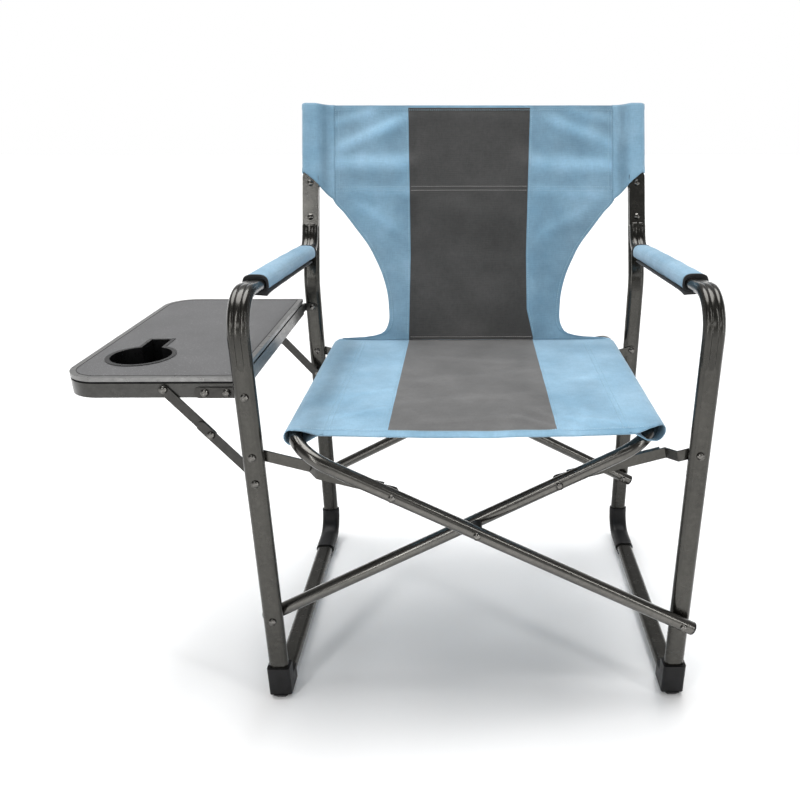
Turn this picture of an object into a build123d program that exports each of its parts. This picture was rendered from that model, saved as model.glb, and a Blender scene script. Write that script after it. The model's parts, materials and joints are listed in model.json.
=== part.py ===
from build123d import *

import math
import os

os.makedirs("parts", exist_ok=True)

# Frame: X across the chair, Y to the back, Z up, floor at Z 0, millimetres.

# Middle of the bounding box, which is where the origin sits on the floor
CENTRE_X = -110.084
CENTRE_Y = 285.747

# Side frames
HALF_SPAN = 290.0
OVAL_W = 28.0
OVAL_D = 14.0
TUBE_WALL = 1.2
LEG_BOTTOM = 20.0
ARM_FRONT_Z = 598.9
ARM_REAR_Y = 473.8
ARM_REAR_Z = 571.6
ARM_FRONT_RADIUS = 50.0
ARM_REAR_RADIUS = 45.0
POST_Y = 466.0
POST_KINK_Z = 519.0
POST_LEAN = 0.439
POST_TOP_Z = 799.0
POST_KINK_RADIUS = 90.0
RAIL_Z = 16.0
RAIL_FRONT_Y = 8.0
HEEL_RADIUS = 42.0
TANG_T = 5.0
TANG_LOW_Z = 606.0
TANG_TOP_Z = 693.0
TANG_RIVET_Z = (621.0, 676.0)
UPTURN_TOP_Z = 612.0

# Cross frames
ROUND_OD = 19.0
ROUND_WALL = 1.2
PIVOT_Z = 134.5
CENTRE_Z = 284.2
RAIL_X = 242.0
FRONT_BEND = 60.0
REAR_BEND = 35.0
TUBE_GAP = 0.5
TUBE_TAIL = 15.0
PLUG_T = 3.0
LINK_PIN_R = 124.3
LINK_LEG_Z = 391.0

# Rivets
SHANK_R = 3.0
RUN_GAP = 0.05
HEAD_R = 5.0
HEAD_H = 1.7
FACE_GAP = 0.1

# Links
LINK_W = 15.0
LINK_T = 2.4
CHANNEL_D = 8.0
INNER_STEP = 74.0
OUTER_STEP = 26.0
STEP_RUN = 12.0

# Sling
CLOTH_T = 2.4
SLEEVE_T = 1.6
SLEEVE_GAP = 0.4
SEAT_FRONT_Y = 14.0
SEAT_REAR_Y = 436.0
GREY_LEFT = -116.0
GREY_RIGHT = 104.0
BACK_FOOT_Y = 431.0
BACK_FOOT_Z = 426.0
BACK_TOP_Z = 806.0
BACK_SLEEVE_LOW = 698.0
BACK_SLEEVE_TOP = 805.0
BACK_SEAM_X = 251.0
BACK_OUTLINE = (
    (251.0, 806.0),
    (251.0, 655.0),
    (231.0, 629.0),
    (212.0, 606.0),
    (190.0, 577.0),
    (176.0, 552.0),
    (164.0, 527.0),
    (156.0, 498.0),
    (153.0, 468.0),
    (155.0, 448.0),
    (166.0, 434.0),
    (196.0, 427.0),
    (238.0, 426.0),
)

# Arm pads
PAD_FRONT_Y = 104.0
PAD_REAR_Y = 438.0
PAD_SIDE = 4.0
PAD_TOP = 7.0
PAD_BOTTOM = 3.0
STRIP_T = 2.0
STRIP_W = 26.0

# Feet
FOOT_W = 33.0
FOOT_TOP = 53.0
FOOT_FRONT_Y = -10.5
FOOT_REAR_Y = 33.0
CRADLE_Z = 7.0
NUB_TOP_W = 21.0
NUB_FLOOR_W = 11.0
CLIP_GROW = 2.6
CLIP_TOP_Z = 58.0
CLIP_FRONT_Y = 380.0
CAP_GROW = 0.2
CAP_H = 5.0
CAP_ROUND = 2.0
PLUG_DEPTH = 9.0

# Side table
TABLE_TOP = 494.0
TABLE_INNER_X = -302.0
TABLE_OUTER_X = -530.0
TABLE_FRONT_Y = 14.0
TABLE_REAR_Y = 436.0
TABLE_CORNER = 46.0
TABLE_INNER_CORNER = 3.0
RIM_W = 8.0
RIM_H = 5.5
BOARD_T = 4.5
FRAME_TOP = 485.8
FRAME_LOW = 467.0
GASKET_INSET = 2.4
FRAME_WALL = 1.6
FRAME_FLANGE = 12.0
FRAME_LIP = 9.0
HINGE_Z = 474.0
BRACE_TOP = (-397.0, 478.5)
BRACE_LOW = (-290.0, 353.5)
BRACE_UPPER_LEN = 81.5
BRACE_W = 13.0
STRIP_STEEL = 2.4
LAYER_GAP = 0.2
BRACKET_X = -352.0
BRACKET_RIVETS_X = (-345.0, -317.0)
KNEE_TAIL = 16.0
CUP_X = -458.0
CUP_Y = 105.0
CUP_HOLE_R = 40.0
CUP_FLANGE_R = 46.0
CUP_FLANGE_T = 2.4
FLANGE_SEAT_Z = 492.4
CUP_WALL = 1.8
CUP_BOTTOM = 450.0
SLOT_W = 28.0
SLOT_END_Y = 182.0
SLOT_RIM = 3.0

LEG_FRONT = -OVAL_D / 2
LEG_BACK = OVAL_D / 2
POST_FRONT = POST_Y - OVAL_D / 2
POST_BACK = POST_Y + OVAL_D / 2
ROUND_R = ROUND_OD / 2
FRONT_A = LEG_FRONT - TUBE_GAP - ROUND_R
FRONT_B = LEG_BACK + TUBE_GAP + ROUND_R
REAR_A = POST_FRONT - TUBE_GAP - ROUND_R
REAR_B = POST_BACK + TUBE_GAP + ROUND_R
OPEN_ANGLE = math.atan2(CENTRE_Z - PIVOT_Z, HALF_SPAN)
SLOPE_X = math.cos(OPEN_ANGLE)
SLOPE_Z = math.sin(OPEN_ANGLE)
RAIL_R = RAIL_X / SLOPE_X
SEAT_RAIL_Z = CENTRE_Z + RAIL_R * SLOPE_Z
PIN_X = LINK_PIN_R * SLOPE_X
PIN_Z = CENTRE_Z + LINK_PIN_R * SLOPE_Z


def save(solid, node):
    export_step(Location((-CENTRE_X, -CENTRE_Y, 0)) * solid, f"parts/{node}.step")


def group(solids):
    return Compound(children=list(solids))


def mirrored(solid):
    return mirror(solid, about=Plane.YZ)


def bent_path(points, radii):
    """Straight runs through the points with a tangent arc at each inner point."""
    pts = [Vector(*p) for p in points]
    edges = []
    start = pts[0]
    for i, radius in enumerate(radii, start=1):
        corner = pts[i]
        back = (pts[i - 1] - corner).normalized()
        ahead = (pts[i + 1] - corner).normalized()
        half = math.radians(back.get_angle(ahead)) / 2
        reach = radius / math.tan(half)
        enter = corner + back * reach
        leave = corner + ahead * reach
        bisector = (back + ahead).normalized()
        middle = corner + bisector * (radius / math.sin(half) - radius)
        if (enter - start).length > 0.01:
            edges.append(Edge.make_line(start, enter))
        edges.append(Edge.make_three_point_arc(enter, middle, leave))
        start = leave
    edges.append(Edge.make_line(start, pts[-1]))
    return Wire(edges)


def section_plane(path):
    return Plane(origin=path @ 0, x_dir=(1, 0, 0), z_dir=path % 0)


def oval_face(plane, grow=0.0):
    return plane * SlotOverall(OVAL_W + 2 * grow, OVAL_D + 2 * grow)


def oval_tube(points, radii):
    path = bent_path(points, radii)
    plane = section_plane(path)
    outer = sweep(oval_face(plane), path=path)
    inner = sweep(oval_face(plane, -TUBE_WALL), path=path)
    return outer - inner


def oval_bar(points, radii, grow):
    path = bent_path(points, radii)
    return sweep(oval_face(section_plane(path), grow), path=path)


def round_tube(points, radii):
    path = bent_path(points, radii)
    plane = Plane(origin=path @ 0, z_dir=path % 0)
    outer = sweep(plane * Circle(ROUND_R), path=path)
    inner = sweep(plane * Circle(ROUND_R - ROUND_WALL), path=path)
    return outer - inner


def pin_y(x, z, y_low, y_high, radius):
    """A cylinder along Y between two Y values."""
    plane = Plane(origin=(x, y_low, z), x_dir=(1, 0, 0), z_dir=(0, 1, 0))
    return extrude(plane * Circle(radius), y_high - y_low)


def box(x0, x1, y0, y1, z0, z1):
    centre = Location(((x0 + x1) / 2, (y0 + y1) / 2, (z0 + z1) / 2))
    return centre * Box(x1 - x0, y1 - y0, z1 - z0)


def dome(x, z, y_face, out):
    """A button rivet head on the face at y_face; out is -1 towards the front, 1 towards the back."""
    plane = Plane(origin=(x, y_face, z), x_dir=(1, 0, 0), z_dir=(0, out, 0))
    disc = extrude(plane * Circle(HEAD_R), HEAD_H)
    return fillet(disc.edges().sort_by(Axis.Y)[0 if out < 0 else -1], HEAD_H * 0.8)


def rivet(x, z, y_front, y_back):
    """A rivet along Y whose heads sit on y_front and y_back."""
    shank = pin_y(x, z, y_front, y_back, SHANK_R)
    return shank + dome(x, z, y_front, -1) + dome(x, z, y_back, 1)


def drilled(solid, x, z, y_low, y_high, radius=SHANK_R):
    return solid - pin_y(x, z, y_low, y_high, radius)


def upper_post_y(z):
    return POST_Y + POST_LEAN * (z - POST_KINK_Z)


def lean_location(z):
    """A location on the upper post, with local Z along the post and local Y across it to the back."""
    angle = -math.degrees(math.atan(POST_LEAN))
    return Location((0, upper_post_y(z), z), (angle, 0, 0))


LEAN = math.atan(POST_LEAN)


def lean_box(width, y0, y1, z_low, z_high):
    """A box across the leaning post; y0 and y1 are measured square to the post."""
    length = (z_high - z_low) / math.cos(LEAN)
    return lean_location(z_low) * box(-width / 2, width / 2, y0, y1, 0, length)


def lean_rivet(z, y0, y1):
    location = lean_location(z)
    body = pin_y(0, 0, y0, y1, SHANK_R) + dome(0, 0, y0, -1) + dome(0, 0, y1, 1)
    return location * body


def place(solid, x):
    return Location((x, 0, 0)) * solid


def arm_z(y):
    return ARM_FRONT_Z + (ARM_REAR_Z - ARM_FRONT_Z) * y / ARM_REAR_Y


ARM_TILT = math.degrees(math.atan2(ARM_REAR_Z - ARM_FRONT_Z, ARM_REAR_Y))


def arm_box(x0, x1, y0, y1, z0, z1):
    """A box along the sloping arm; z is measured square to the arm's centre line."""
    length = (y1 - y0) / math.cos(math.radians(ARM_TILT))
    return Location((0, y0, arm_z(y0)), (ARM_TILT, 0, 0)) * box(x0, x1, 0, length, z0, z1)


# ---------------------------------------------------------------- side frames
def upper_frame_tube():
    upturn_y = ARM_REAR_Y + POST_LEAN * (UPTURN_TOP_Z - ARM_REAR_Z)
    points = (
        (0, 0, LEG_BOTTOM),
        (0, 0, ARM_FRONT_Z),
        (0, ARM_REAR_Y, ARM_REAR_Z),
        (0, upturn_y, UPTURN_TOP_Z),
    )
    tube = oval_tube(points, (ARM_FRONT_RADIUS, ARM_REAR_RADIUS))
    tang_back = -OVAL_D / 2 - FACE_GAP
    tang = lean_box(OVAL_W, tang_back - TANG_T, tang_back, TANG_LOW_Z, TANG_TOP_Z)
    tang = fillet(tang.edges().filter_by(lambda e: e.center().Z > TANG_TOP_Z - 5).filter_by(
        lambda e: abs(e.length - TANG_T) < 0.01), OVAL_W / 4)
    tube += tang
    for z in TANG_RIVET_Z:
        tube -= lean_location(z) * pin_y(0, 0, -OVAL_D * 2, 0, SHANK_R)
    return tube


def lower_frame_tube():
    points = (
        (0, upper_post_y(POST_TOP_Z), POST_TOP_Z),
        (0, POST_Y, POST_KINK_Z),
        (0, POST_Y, RAIL_Z),
        (0, RAIL_FRONT_Y, RAIL_Z),
    )
    tube = oval_tube(points, (POST_KINK_RADIUS, HEEL_RADIUS))
    for z in TANG_RIVET_Z:
        tube -= lean_location(z) * pin_y(0, 0, -OVAL_D, OVAL_D, SHANK_R)
    return tube


def leg_holes(solid, side):
    holes = [PIVOT_Z, LINK_LEG_Z]
    if side < 0:
        holes += [BRACE_LOW[1], HINGE_Z]
    for z in holes:
        solid = drilled(solid, 0, z, LEG_FRONT - 1, LEG_BACK + 1)
    return solid


def post_holes(solid, side):
    holes = [PIVOT_Z, LINK_LEG_Z]
    if side < 0:
        holes += [BRACE_LOW[1], HINGE_Z]
    for z in holes:
        solid = drilled(solid, 0, z, POST_FRONT - 1, POST_BACK + 1)
    return solid


def front_foot():
    cradle = box(-FOOT_W / 2, FOOT_W / 2, FOOT_FRONT_Y, FOOT_REAR_Y, CRADLE_Z, FOOT_TOP)
    cradle = fillet(cradle.edges().filter_by(Axis.Z), 4)
    wedge = box(-FOOT_W, FOOT_W, LEG_BACK + 4, FOOT_REAR_Y + 5, RAIL_Z + 14, FOOT_TOP + 5)
    cradle -= wedge
    top = Plane.XY.offset(CRADLE_Z) * Rectangle(NUB_TOP_W, 24)
    floor = Plane.XY * Rectangle(NUB_FLOOR_W, 14)
    nub = loft([floor, top])
    foot = cradle + nub
    foot -= Plane.XY.offset(LEG_BOTTOM) * extrude(SlotOverall(OVAL_W, OVAL_D), FOOT_TOP)
    socket = Plane(origin=(0, RAIL_FRONT_Y, RAIL_Z), x_dir=(1, 0, 0), z_dir=(0, 1, 0))
    foot -= extrude(socket * SlotOverall(OVAL_W, OVAL_D), FOOT_REAR_Y)
    return foot


def rear_foot():
    points = ((0, POST_Y, CLIP_TOP_Z), (0, POST_Y, RAIL_Z), (0, CLIP_FRONT_Y, RAIL_Z))
    shell = oval_bar(points, (HEEL_RADIUS,), CLIP_GROW)
    nub = box(-NUB_TOP_W / 2, NUB_TOP_W / 2, CLIP_FRONT_Y, CLIP_FRONT_Y + 26, 0, RAIL_Z)
    shell += fillet(nub.edges().filter_by(Axis.Z), 3)
    points = ((0, POST_Y, CLIP_TOP_Z), (0, POST_Y, RAIL_Z), (0, CLIP_FRONT_Y - 1, RAIL_Z))
    return shell - oval_bar(points, (HEEL_RADIUS,), 0.0)


def post_cap():
    section = SlotOverall(OVAL_W + 2 * CAP_GROW, OVAL_D + 2 * CAP_GROW)
    cap = extrude(section, CAP_H)
    cap = fillet(cap.edges().sort_by(Axis.Z)[-1], CAP_ROUND)
    bore = SlotOverall(OVAL_W - 2 * TUBE_WALL, OVAL_D - 2 * TUBE_WALL)
    plug = Location((0, 0, -PLUG_DEPTH)) * extrude(bore, PLUG_DEPTH)
    return lean_location(POST_TOP_Z) * (cap + plug)


def tang_rivets():
    front = -OVAL_D / 2 - FACE_GAP - TANG_T
    return [lean_rivet(z, front, OVAL_D / 2) for z in TANG_RIVET_Z]


def arm_pad():
    half = OVAL_W / 2 + PAD_SIDE
    top = OVAL_D / 2 + PAD_TOP
    low = -OVAL_D / 2 - PAD_BOTTOM
    pad = arm_box(-half, half, PAD_FRONT_Y, PAD_REAR_Y, low, top)
    pad = fillet(pad.edges().filter_by(lambda e: e.length > 100), 7)
    points = ((0, PAD_FRONT_Y - 9, arm_z(PAD_FRONT_Y - 9)), (0, PAD_REAR_Y + 4, arm_z(PAD_REAR_Y + 4)))
    path = Wire([Edge.make_line(Vector(*points[0]), Vector(*points[1]))])
    return pad - sweep(oval_face(section_plane(path), SLEEVE_GAP), path=path)


def arm_strip():
    top = -OVAL_D / 2 - PAD_BOTTOM - FACE_GAP
    return arm_box(-STRIP_W / 2, STRIP_W / 2, PAD_FRONT_Y - 8, PAD_REAR_Y - 30, top - STRIP_T, top)


# --------------------------------------------------------------- cross frames
def cross_tube(side, front_y, rear_y):
    """side is the X sign of the seat rail; the tube's feet pivot on the other side."""
    tail = TUBE_TAIL
    foot_x = -side * (HALF_SPAN + tail * SLOPE_X)
    foot_z = PIVOT_Z - tail * SLOPE_Z
    points = (
        (foot_x, front_y, foot_z),
        (side * RAIL_X, front_y, SEAT_RAIL_Z),
        (side * RAIL_X, rear_y, SEAT_RAIL_Z),
        (foot_x, rear_y, foot_z),
    )
    tube = round_tube(points, (FRONT_BEND, REAR_BEND))
    return tube, points


def tube_plugs(points):
    plugs = []
    for end, inner in ((points[0], points[1]), (points[3], points[2])):
        out = (Vector(*end) - Vector(*inner)).normalized()
        cap_plane = Plane(origin=end, z_dir=out)
        cap = fillet(extrude(cap_plane * Circle(ROUND_R), PLUG_T).edges().group_by(
            lambda e: -(e.center() - Vector(*end)).length)[0], 1.5)
        stem_plane = Plane(origin=end, z_dir=out * -1)
        plugs.append(cap + extrude(stem_plane * Circle(ROUND_R - ROUND_WALL), 8))
    return plugs


def cross_holes(tube, side, front_y, rear_y):
    spots = (
        (-side * HALF_SPAN, PIVOT_Z, RUN_GAP),
        (0, CENTRE_Z, 0.0 if side < 0 else RUN_GAP),
        (side * PIN_X, PIN_Z, 0.0),
    )
    for x, z, gap in spots:
        for y in (front_y, rear_y):
            tube = drilled(tube, x, z, y - ROUND_OD, y + ROUND_OD, SHANK_R + gap)
    return tube


def link_arm(side, leg_face, leg_dir, tube_face, tube_dir, step):
    """A pressed link: flat eye on the leg, a step, a channel and a flat eye on the tube.

    leg_face and tube_face are the Y of the surfaces the eyes lie on, and leg_dir and
    tube_dir say which side of them the strip is on.
    """
    span = math.hypot(HALF_SPAN - PIN_X, LINK_LEG_Z - PIN_Z)
    leg_mid = leg_face + leg_dir * (LAYER_GAP + LINK_T / 2)
    tube_mid = tube_face + tube_dir * (LAYER_GAP + LINK_T / 2)
    run = (
        (-LINK_W / 2, leg_mid),
        (step, leg_mid),
        (step + STEP_RUN, tube_mid),
        (span + LINK_W / 2, tube_mid),
    )
    line = Polyline(*run)
    profile = trace(line, LINK_T)
    strip = extrude(profile, LINK_W / 2, both=True)
    web_start = step + STEP_RUN + 6
    web_end = span - 14
    y0 = tube_mid - LINK_T / 2
    y1 = tube_mid + LINK_T / 2
    if tube_dir > 0:
        y1 = tube_mid - LINK_T / 2 + CHANNEL_D
    else:
        y0 = tube_mid + LINK_T / 2 - CHANNEL_D
    for z in (LINK_W / 2 - LINK_T / 2, -LINK_W / 2 + LINK_T / 2):
        strip += box(web_start, web_end, y0, y1, z - LINK_T / 2, z + LINK_T / 2)
    flat = Plane.XZ * (Pos((span / 2, 0)) * SlotCenterToCenter(span, LINK_W))
    keep = Location((0, leg_mid + 60, 0)) * extrude(flat, 120)
    strip = strip & keep
    strip -= pin_y(span, 0, tube_mid - LINK_T, tube_mid + LINK_T, SHANK_R)
    strip -= pin_y(0, 0, leg_mid - LINK_T, leg_mid + LINK_T, SHANK_R + RUN_GAP)
    angle = math.degrees(math.atan2(PIN_Z - LINK_LEG_Z, HALF_SPAN - PIN_X))
    left = Location((-HALF_SPAN, 0, LINK_LEG_Z), (0, -angle, 0)) * strip
    return mirrored(left) if side > 0 else left


# ------------------------------------------------------------------ the sling
def rail_sleeve(side, y0, y1):
    ring = pin_y(side * RAIL_X, SEAT_RAIL_Z, y0, y1, ROUND_R + SLEEVE_GAP + SLEEVE_T)
    return ring - pin_y(side * RAIL_X, SEAT_RAIL_Z, y0 - 1, y1 + 1, ROUND_R + SLEEVE_GAP)


def seat_panel(x0, x1):
    low = SEAT_RAIL_Z + ROUND_R + SLEEVE_GAP + SLEEVE_T + 0.3
    return box(x0, x1, SEAT_FRONT_Y, SEAT_REAR_Y, low, low + CLOTH_T)


def back_plane():
    rise = BACK_TOP_Z - BACK_FOOT_Z
    run = upper_post_y(BACK_TOP_Z) - BACK_FOOT_Y - OVAL_D / 2
    tilt = math.atan2(run, rise)
    normal = (0, -math.cos(tilt), math.sin(tilt))
    return Plane(origin=(0, BACK_FOOT_Y, BACK_FOOT_Z), x_dir=(1, 0, 0), z_dir=normal), tilt


def back_half(side, x_inner):
    """The part of the back between x_inner and the side seam."""
    plane, tilt = back_plane()
    outline = [(side * x, (z - BACK_FOOT_Z) / math.cos(tilt)) for x, z in BACK_OUTLINE]
    edge = [(x_inner, outline[-1][1]), (x_inner, outline[0][1])]
    face = Polygon(*(outline + edge), align=None)
    return extrude(plane * face, CLOTH_T / 2, both=True)


def back_centre():
    plane, tilt = back_plane()
    height = (BACK_TOP_Z - BACK_FOOT_Z) / math.cos(tilt)
    width = GREY_RIGHT - GREY_LEFT
    middle = (GREY_RIGHT + GREY_LEFT) / 2
    face = Pos((middle, height / 2)) * Rectangle(width, height)
    return extrude(plane * face, CLOTH_T / 2, both=True)


def back_sleeve():
    """The pocket on a post, for the right side; its web runs to the panel seam."""
    gap = SLEEVE_GAP
    low = BACK_SLEEVE_LOW
    high = BACK_SLEEVE_TOP
    half_d = OVAL_D / 2 + gap + SLEEVE_T
    length = (high - low) / math.cos(LEAN)
    section = SlotOverall(OVAL_W + 2 * (gap + SLEEVE_T), 2 * half_d)
    web = Pos((-(HALF_SPAN - BACK_SEAM_X) / 2, 0)) * Rectangle(HALF_SPAN - BACK_SEAM_X - 0.6, CLOTH_T)
    outer = extrude(section + web, length)
    inner = extrude(SlotOverall(OVAL_W + 2 * gap, OVAL_D + 2 * gap), length)
    return lean_location(low) * (outer - inner)


# ----------------------------------------------------------------- side table
def table_outline(inset=0.0):
    x0 = TABLE_OUTER_X + inset
    x1 = TABLE_INNER_X - inset
    y0 = TABLE_FRONT_Y + inset
    y1 = TABLE_REAR_Y - inset
    face = Pos(((x0 + x1) / 2, (y0 + y1) / 2)) * Rectangle(x1 - x0, y1 - y0)
    corners = face.vertices().sort_by(Axis.X)
    face = fillet(corners[0:2], TABLE_CORNER - inset)
    corners = face.vertices().sort_by(Axis.X)
    return fillet(corners[-2:], max(TABLE_INNER_CORNER - inset, 0.5))


def table_slab(inset, z0, z1):
    return Plane.XY.offset(z0) * extrude(table_outline(inset), z1 - z0)


def cup_opening(grow):
    """The round hole with its handle slot, as a face."""
    hole = Pos((CUP_X, CUP_Y)) * Circle(CUP_HOLE_R + grow)
    length = SLOT_END_Y + grow - CUP_Y
    slot = Pos((CUP_X, CUP_Y + length / 2)) * Rectangle(SLOT_W + 2 * grow, length)
    return hole + slot


def flange_outline(grow):
    ring = Pos((CUP_X, CUP_Y)) * Circle(CUP_FLANGE_R + grow)
    return ring + cup_opening(SLOT_RIM + CUP_WALL + grow)


def table_board():
    slab = table_slab(RIM_W, TABLE_TOP - BOARD_T, TABLE_TOP)
    slab -= Plane.XY.offset(TABLE_TOP - 20) * extrude(cup_opening(CUP_WALL + FACE_GAP), 30)
    return slab - Plane.XY.offset(FLANGE_SEAT_Z) * extrude(flange_outline(FACE_GAP), 30)


def table_rim():
    low = TABLE_TOP - RIM_H
    ring = table_slab(0, low, TABLE_TOP) - table_slab(RIM_W, low - 1, TABLE_TOP + 1)
    return ring


def table_gasket():
    low = FRAME_TOP
    high = TABLE_TOP - RIM_H
    return table_slab(GASKET_INSET, low, high) - table_slab(FRAME_FLANGE, low - 1, high + 1)


def table_frame():
    shell = table_slab(0, FRAME_LOW, FRAME_TOP) - table_slab(FRAME_WALL, FRAME_LOW - 1, FRAME_TOP + 1)
    top = table_slab(0, FRAME_TOP - FRAME_WALL, FRAME_TOP)
    top -= table_slab(FRAME_FLANGE, FRAME_TOP - 5, FRAME_TOP + 1)
    lip = table_slab(0, FRAME_LOW, FRAME_LOW + FRAME_WALL)
    lip -= table_slab(FRAME_LIP, FRAME_LOW - 1, FRAME_LOW + 5)
    frame = shell + top + lip
    for x in BRACKET_RIVETS_X:
        frame -= pin_y(x, HINGE_Z, TABLE_FRONT_Y - 1, TABLE_FRONT_Y + 4, SHANK_R)
        frame -= pin_y(x, HINGE_Z, TABLE_REAR_Y - 4, TABLE_REAR_Y + 1, SHANK_R)
    frame -= pin_y(*BRACE_TOP, TABLE_FRONT_Y - 1, TABLE_FRONT_Y + 4, SHANK_R)
    frame -= pin_y(*BRACE_TOP, TABLE_REAR_Y - 4, TABLE_REAR_Y + 1, SHANK_R)
    return frame


def cup_holder():
    flange = extrude(Plane.XY.offset(FLANGE_SEAT_Z) * flange_outline(0), CUP_FLANGE_T)
    cup = Plane.XY.offset(CUP_BOTTOM) * extrude(
        Pos((CUP_X, CUP_Y)) * Circle(CUP_HOLE_R + CUP_WALL), TABLE_TOP - CUP_BOTTOM)
    slot_low = CUP_BOTTOM + 8
    length = SLOT_END_Y + CUP_WALL - CUP_Y
    slot = Pos((CUP_X, CUP_Y + length / 2)) * Rectangle(SLOT_W + 2 * CUP_WALL, length)
    cup += Plane.XY.offset(slot_low) * extrude(slot, TABLE_TOP - slot_low)
    body = cup + flange
    body -= Plane.XY.offset(CUP_BOTTOM + CUP_WALL) * extrude(
        Pos((CUP_X, CUP_Y)) * Circle(CUP_HOLE_R), 60)
    length = SLOT_END_Y - CUP_Y
    slot = Pos((CUP_X, CUP_Y + length / 2)) * Rectangle(SLOT_W, length)
    body -= Plane.XY.offset(slot_low + CUP_WALL) * extrude(slot, 60)
    return body


def eye_strip(x0, z0, x1, z1, y0, y1, width):
    """A flat strip with round ends between two eyes, on the XZ plane between y0 and y1."""
    span = math.hypot(x1 - x0, z1 - z0)
    flat = Plane.XZ * (Pos((span / 2, 0)) * SlotCenterToCenter(span, width))
    bar = Location((0, y1 - y0, 0)) * extrude(flat, y1 - y0)
    angle = math.degrees(math.atan2(z1 - z0, x1 - x0))
    return Location((x0, y0, z0), (0, -angle, 0)) * bar


def front_bracket():
    y1 = TABLE_FRONT_Y - LAYER_GAP
    y0 = y1 - STRIP_STEEL
    strip = eye_strip(BRACKET_X, HINGE_Z, -HALF_SPAN, HINGE_Z, y0, y1, 14)
    strip -= pin_y(-HALF_SPAN, HINGE_Z, y0 - 1, y1 + 1, SHANK_R + RUN_GAP)
    for x in BRACKET_RIVETS_X:
        strip -= pin_y(x, HINGE_Z, y0 - 1, y1 + 1, SHANK_R)
    return strip


def rear_bracket():
    y0 = TABLE_REAR_Y + LAYER_GAP
    y1 = y0 + STRIP_STEEL
    eye_back = POST_FRONT - TUBE_GAP
    strip = box(BRACKET_X, TABLE_INNER_X - 2, y0, y1, HINGE_Z - 6.5, HINGE_Z + 6.5)
    turn_x = TABLE_INNER_X - 2
    strip += box(turn_x - STRIP_STEEL, turn_x, y0, eye_back, HINGE_Z - 6.5, HINGE_Z + 6.5)
    eye = eye_strip(turn_x, HINGE_Z, -HALF_SPAN, HINGE_Z, eye_back - STRIP_STEEL, eye_back, 13)
    eye -= box(turn_x - 30, turn_x - STRIP_STEEL / 2, y0, POST_Y, HINGE_Z - 20, HINGE_Z + 20)
    strip += eye
    strip -= pin_y(-HALF_SPAN, HINGE_Z, y0, POST_Y, SHANK_R + RUN_GAP)
    for x in BRACKET_RIVETS_X:
        strip -= pin_y(x, HINGE_Z, y0 - 1, y1 + 1, SHANK_R)
    return strip


def knee_point():
    dx = BRACE_LOW[0] - BRACE_TOP[0]
    dz = BRACE_LOW[1] - BRACE_TOP[1]
    span = math.hypot(dx, dz)
    ux = dx / span
    uz = dz / span
    knee = (BRACE_TOP[0] + ux * BRACE_UPPER_LEN, BRACE_TOP[1] + uz * BRACE_UPPER_LEN)
    return knee, (ux, uz)


def upper_brace(y0, y1):
    knee, _ = knee_point()
    bar = eye_strip(*BRACE_TOP, *knee, y0, y1, BRACE_W)
    bar -= pin_y(*BRACE_TOP, y0 - 1, y1 + 1, SHANK_R + RUN_GAP)
    return bar


def lower_brace(y0, y1):
    """The strip runs a little past the knee."""
    knee, (ux, uz) = knee_point()
    bar = eye_strip(*BRACE_LOW, knee[0] - ux * KNEE_TAIL, knee[1] - uz * KNEE_TAIL, y0, y1, BRACE_W)
    bar -= pin_y(*BRACE_LOW, y0 - 1, y1 + 1, SHANK_R)
    return bar - pin_y(*knee, y0 - 1, y1 + 1, SHANK_R)


# ============================================================ build and write
def build_side(side, name):
    shift = side * HALF_SPAN
    upper = leg_holes(upper_frame_tube(), side)
    lower = post_holes(lower_frame_tube(), side)
    save(place(upper, shift), f"upper_tube_{name}")
    save(place(lower, shift), f"lower_tube_{name}")
    save(place(front_foot(), shift), f"front_foot_{name}")
    save(place(rear_foot(), shift), f"rear_foot_{name}")
    save(place(post_cap(), shift), f"post_cap_{name}")
    save(group(place(r, shift) for r in tang_rivets()), f"arm_rivets_{name}")
    save(place(arm_pad(), shift), f"arm_pad_{name}")
    save(place(arm_strip(), shift), f"arm_pad_strip_{name}")
    sleeve = back_sleeve()
    if side < 0:
        sleeve = mirrored(sleeve)
    save(place(sleeve, shift), f"back_sleeve_{name}")


def build_cross(side, name, front_y, rear_y):
    tube, points = cross_tube(side, front_y, rear_y)
    tube = cross_holes(tube, side, front_y, rear_y)
    save(tube, f"cross_tube_{name}")
    save(group(tube_plugs(points)), f"tube_plugs_{name}")


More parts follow.
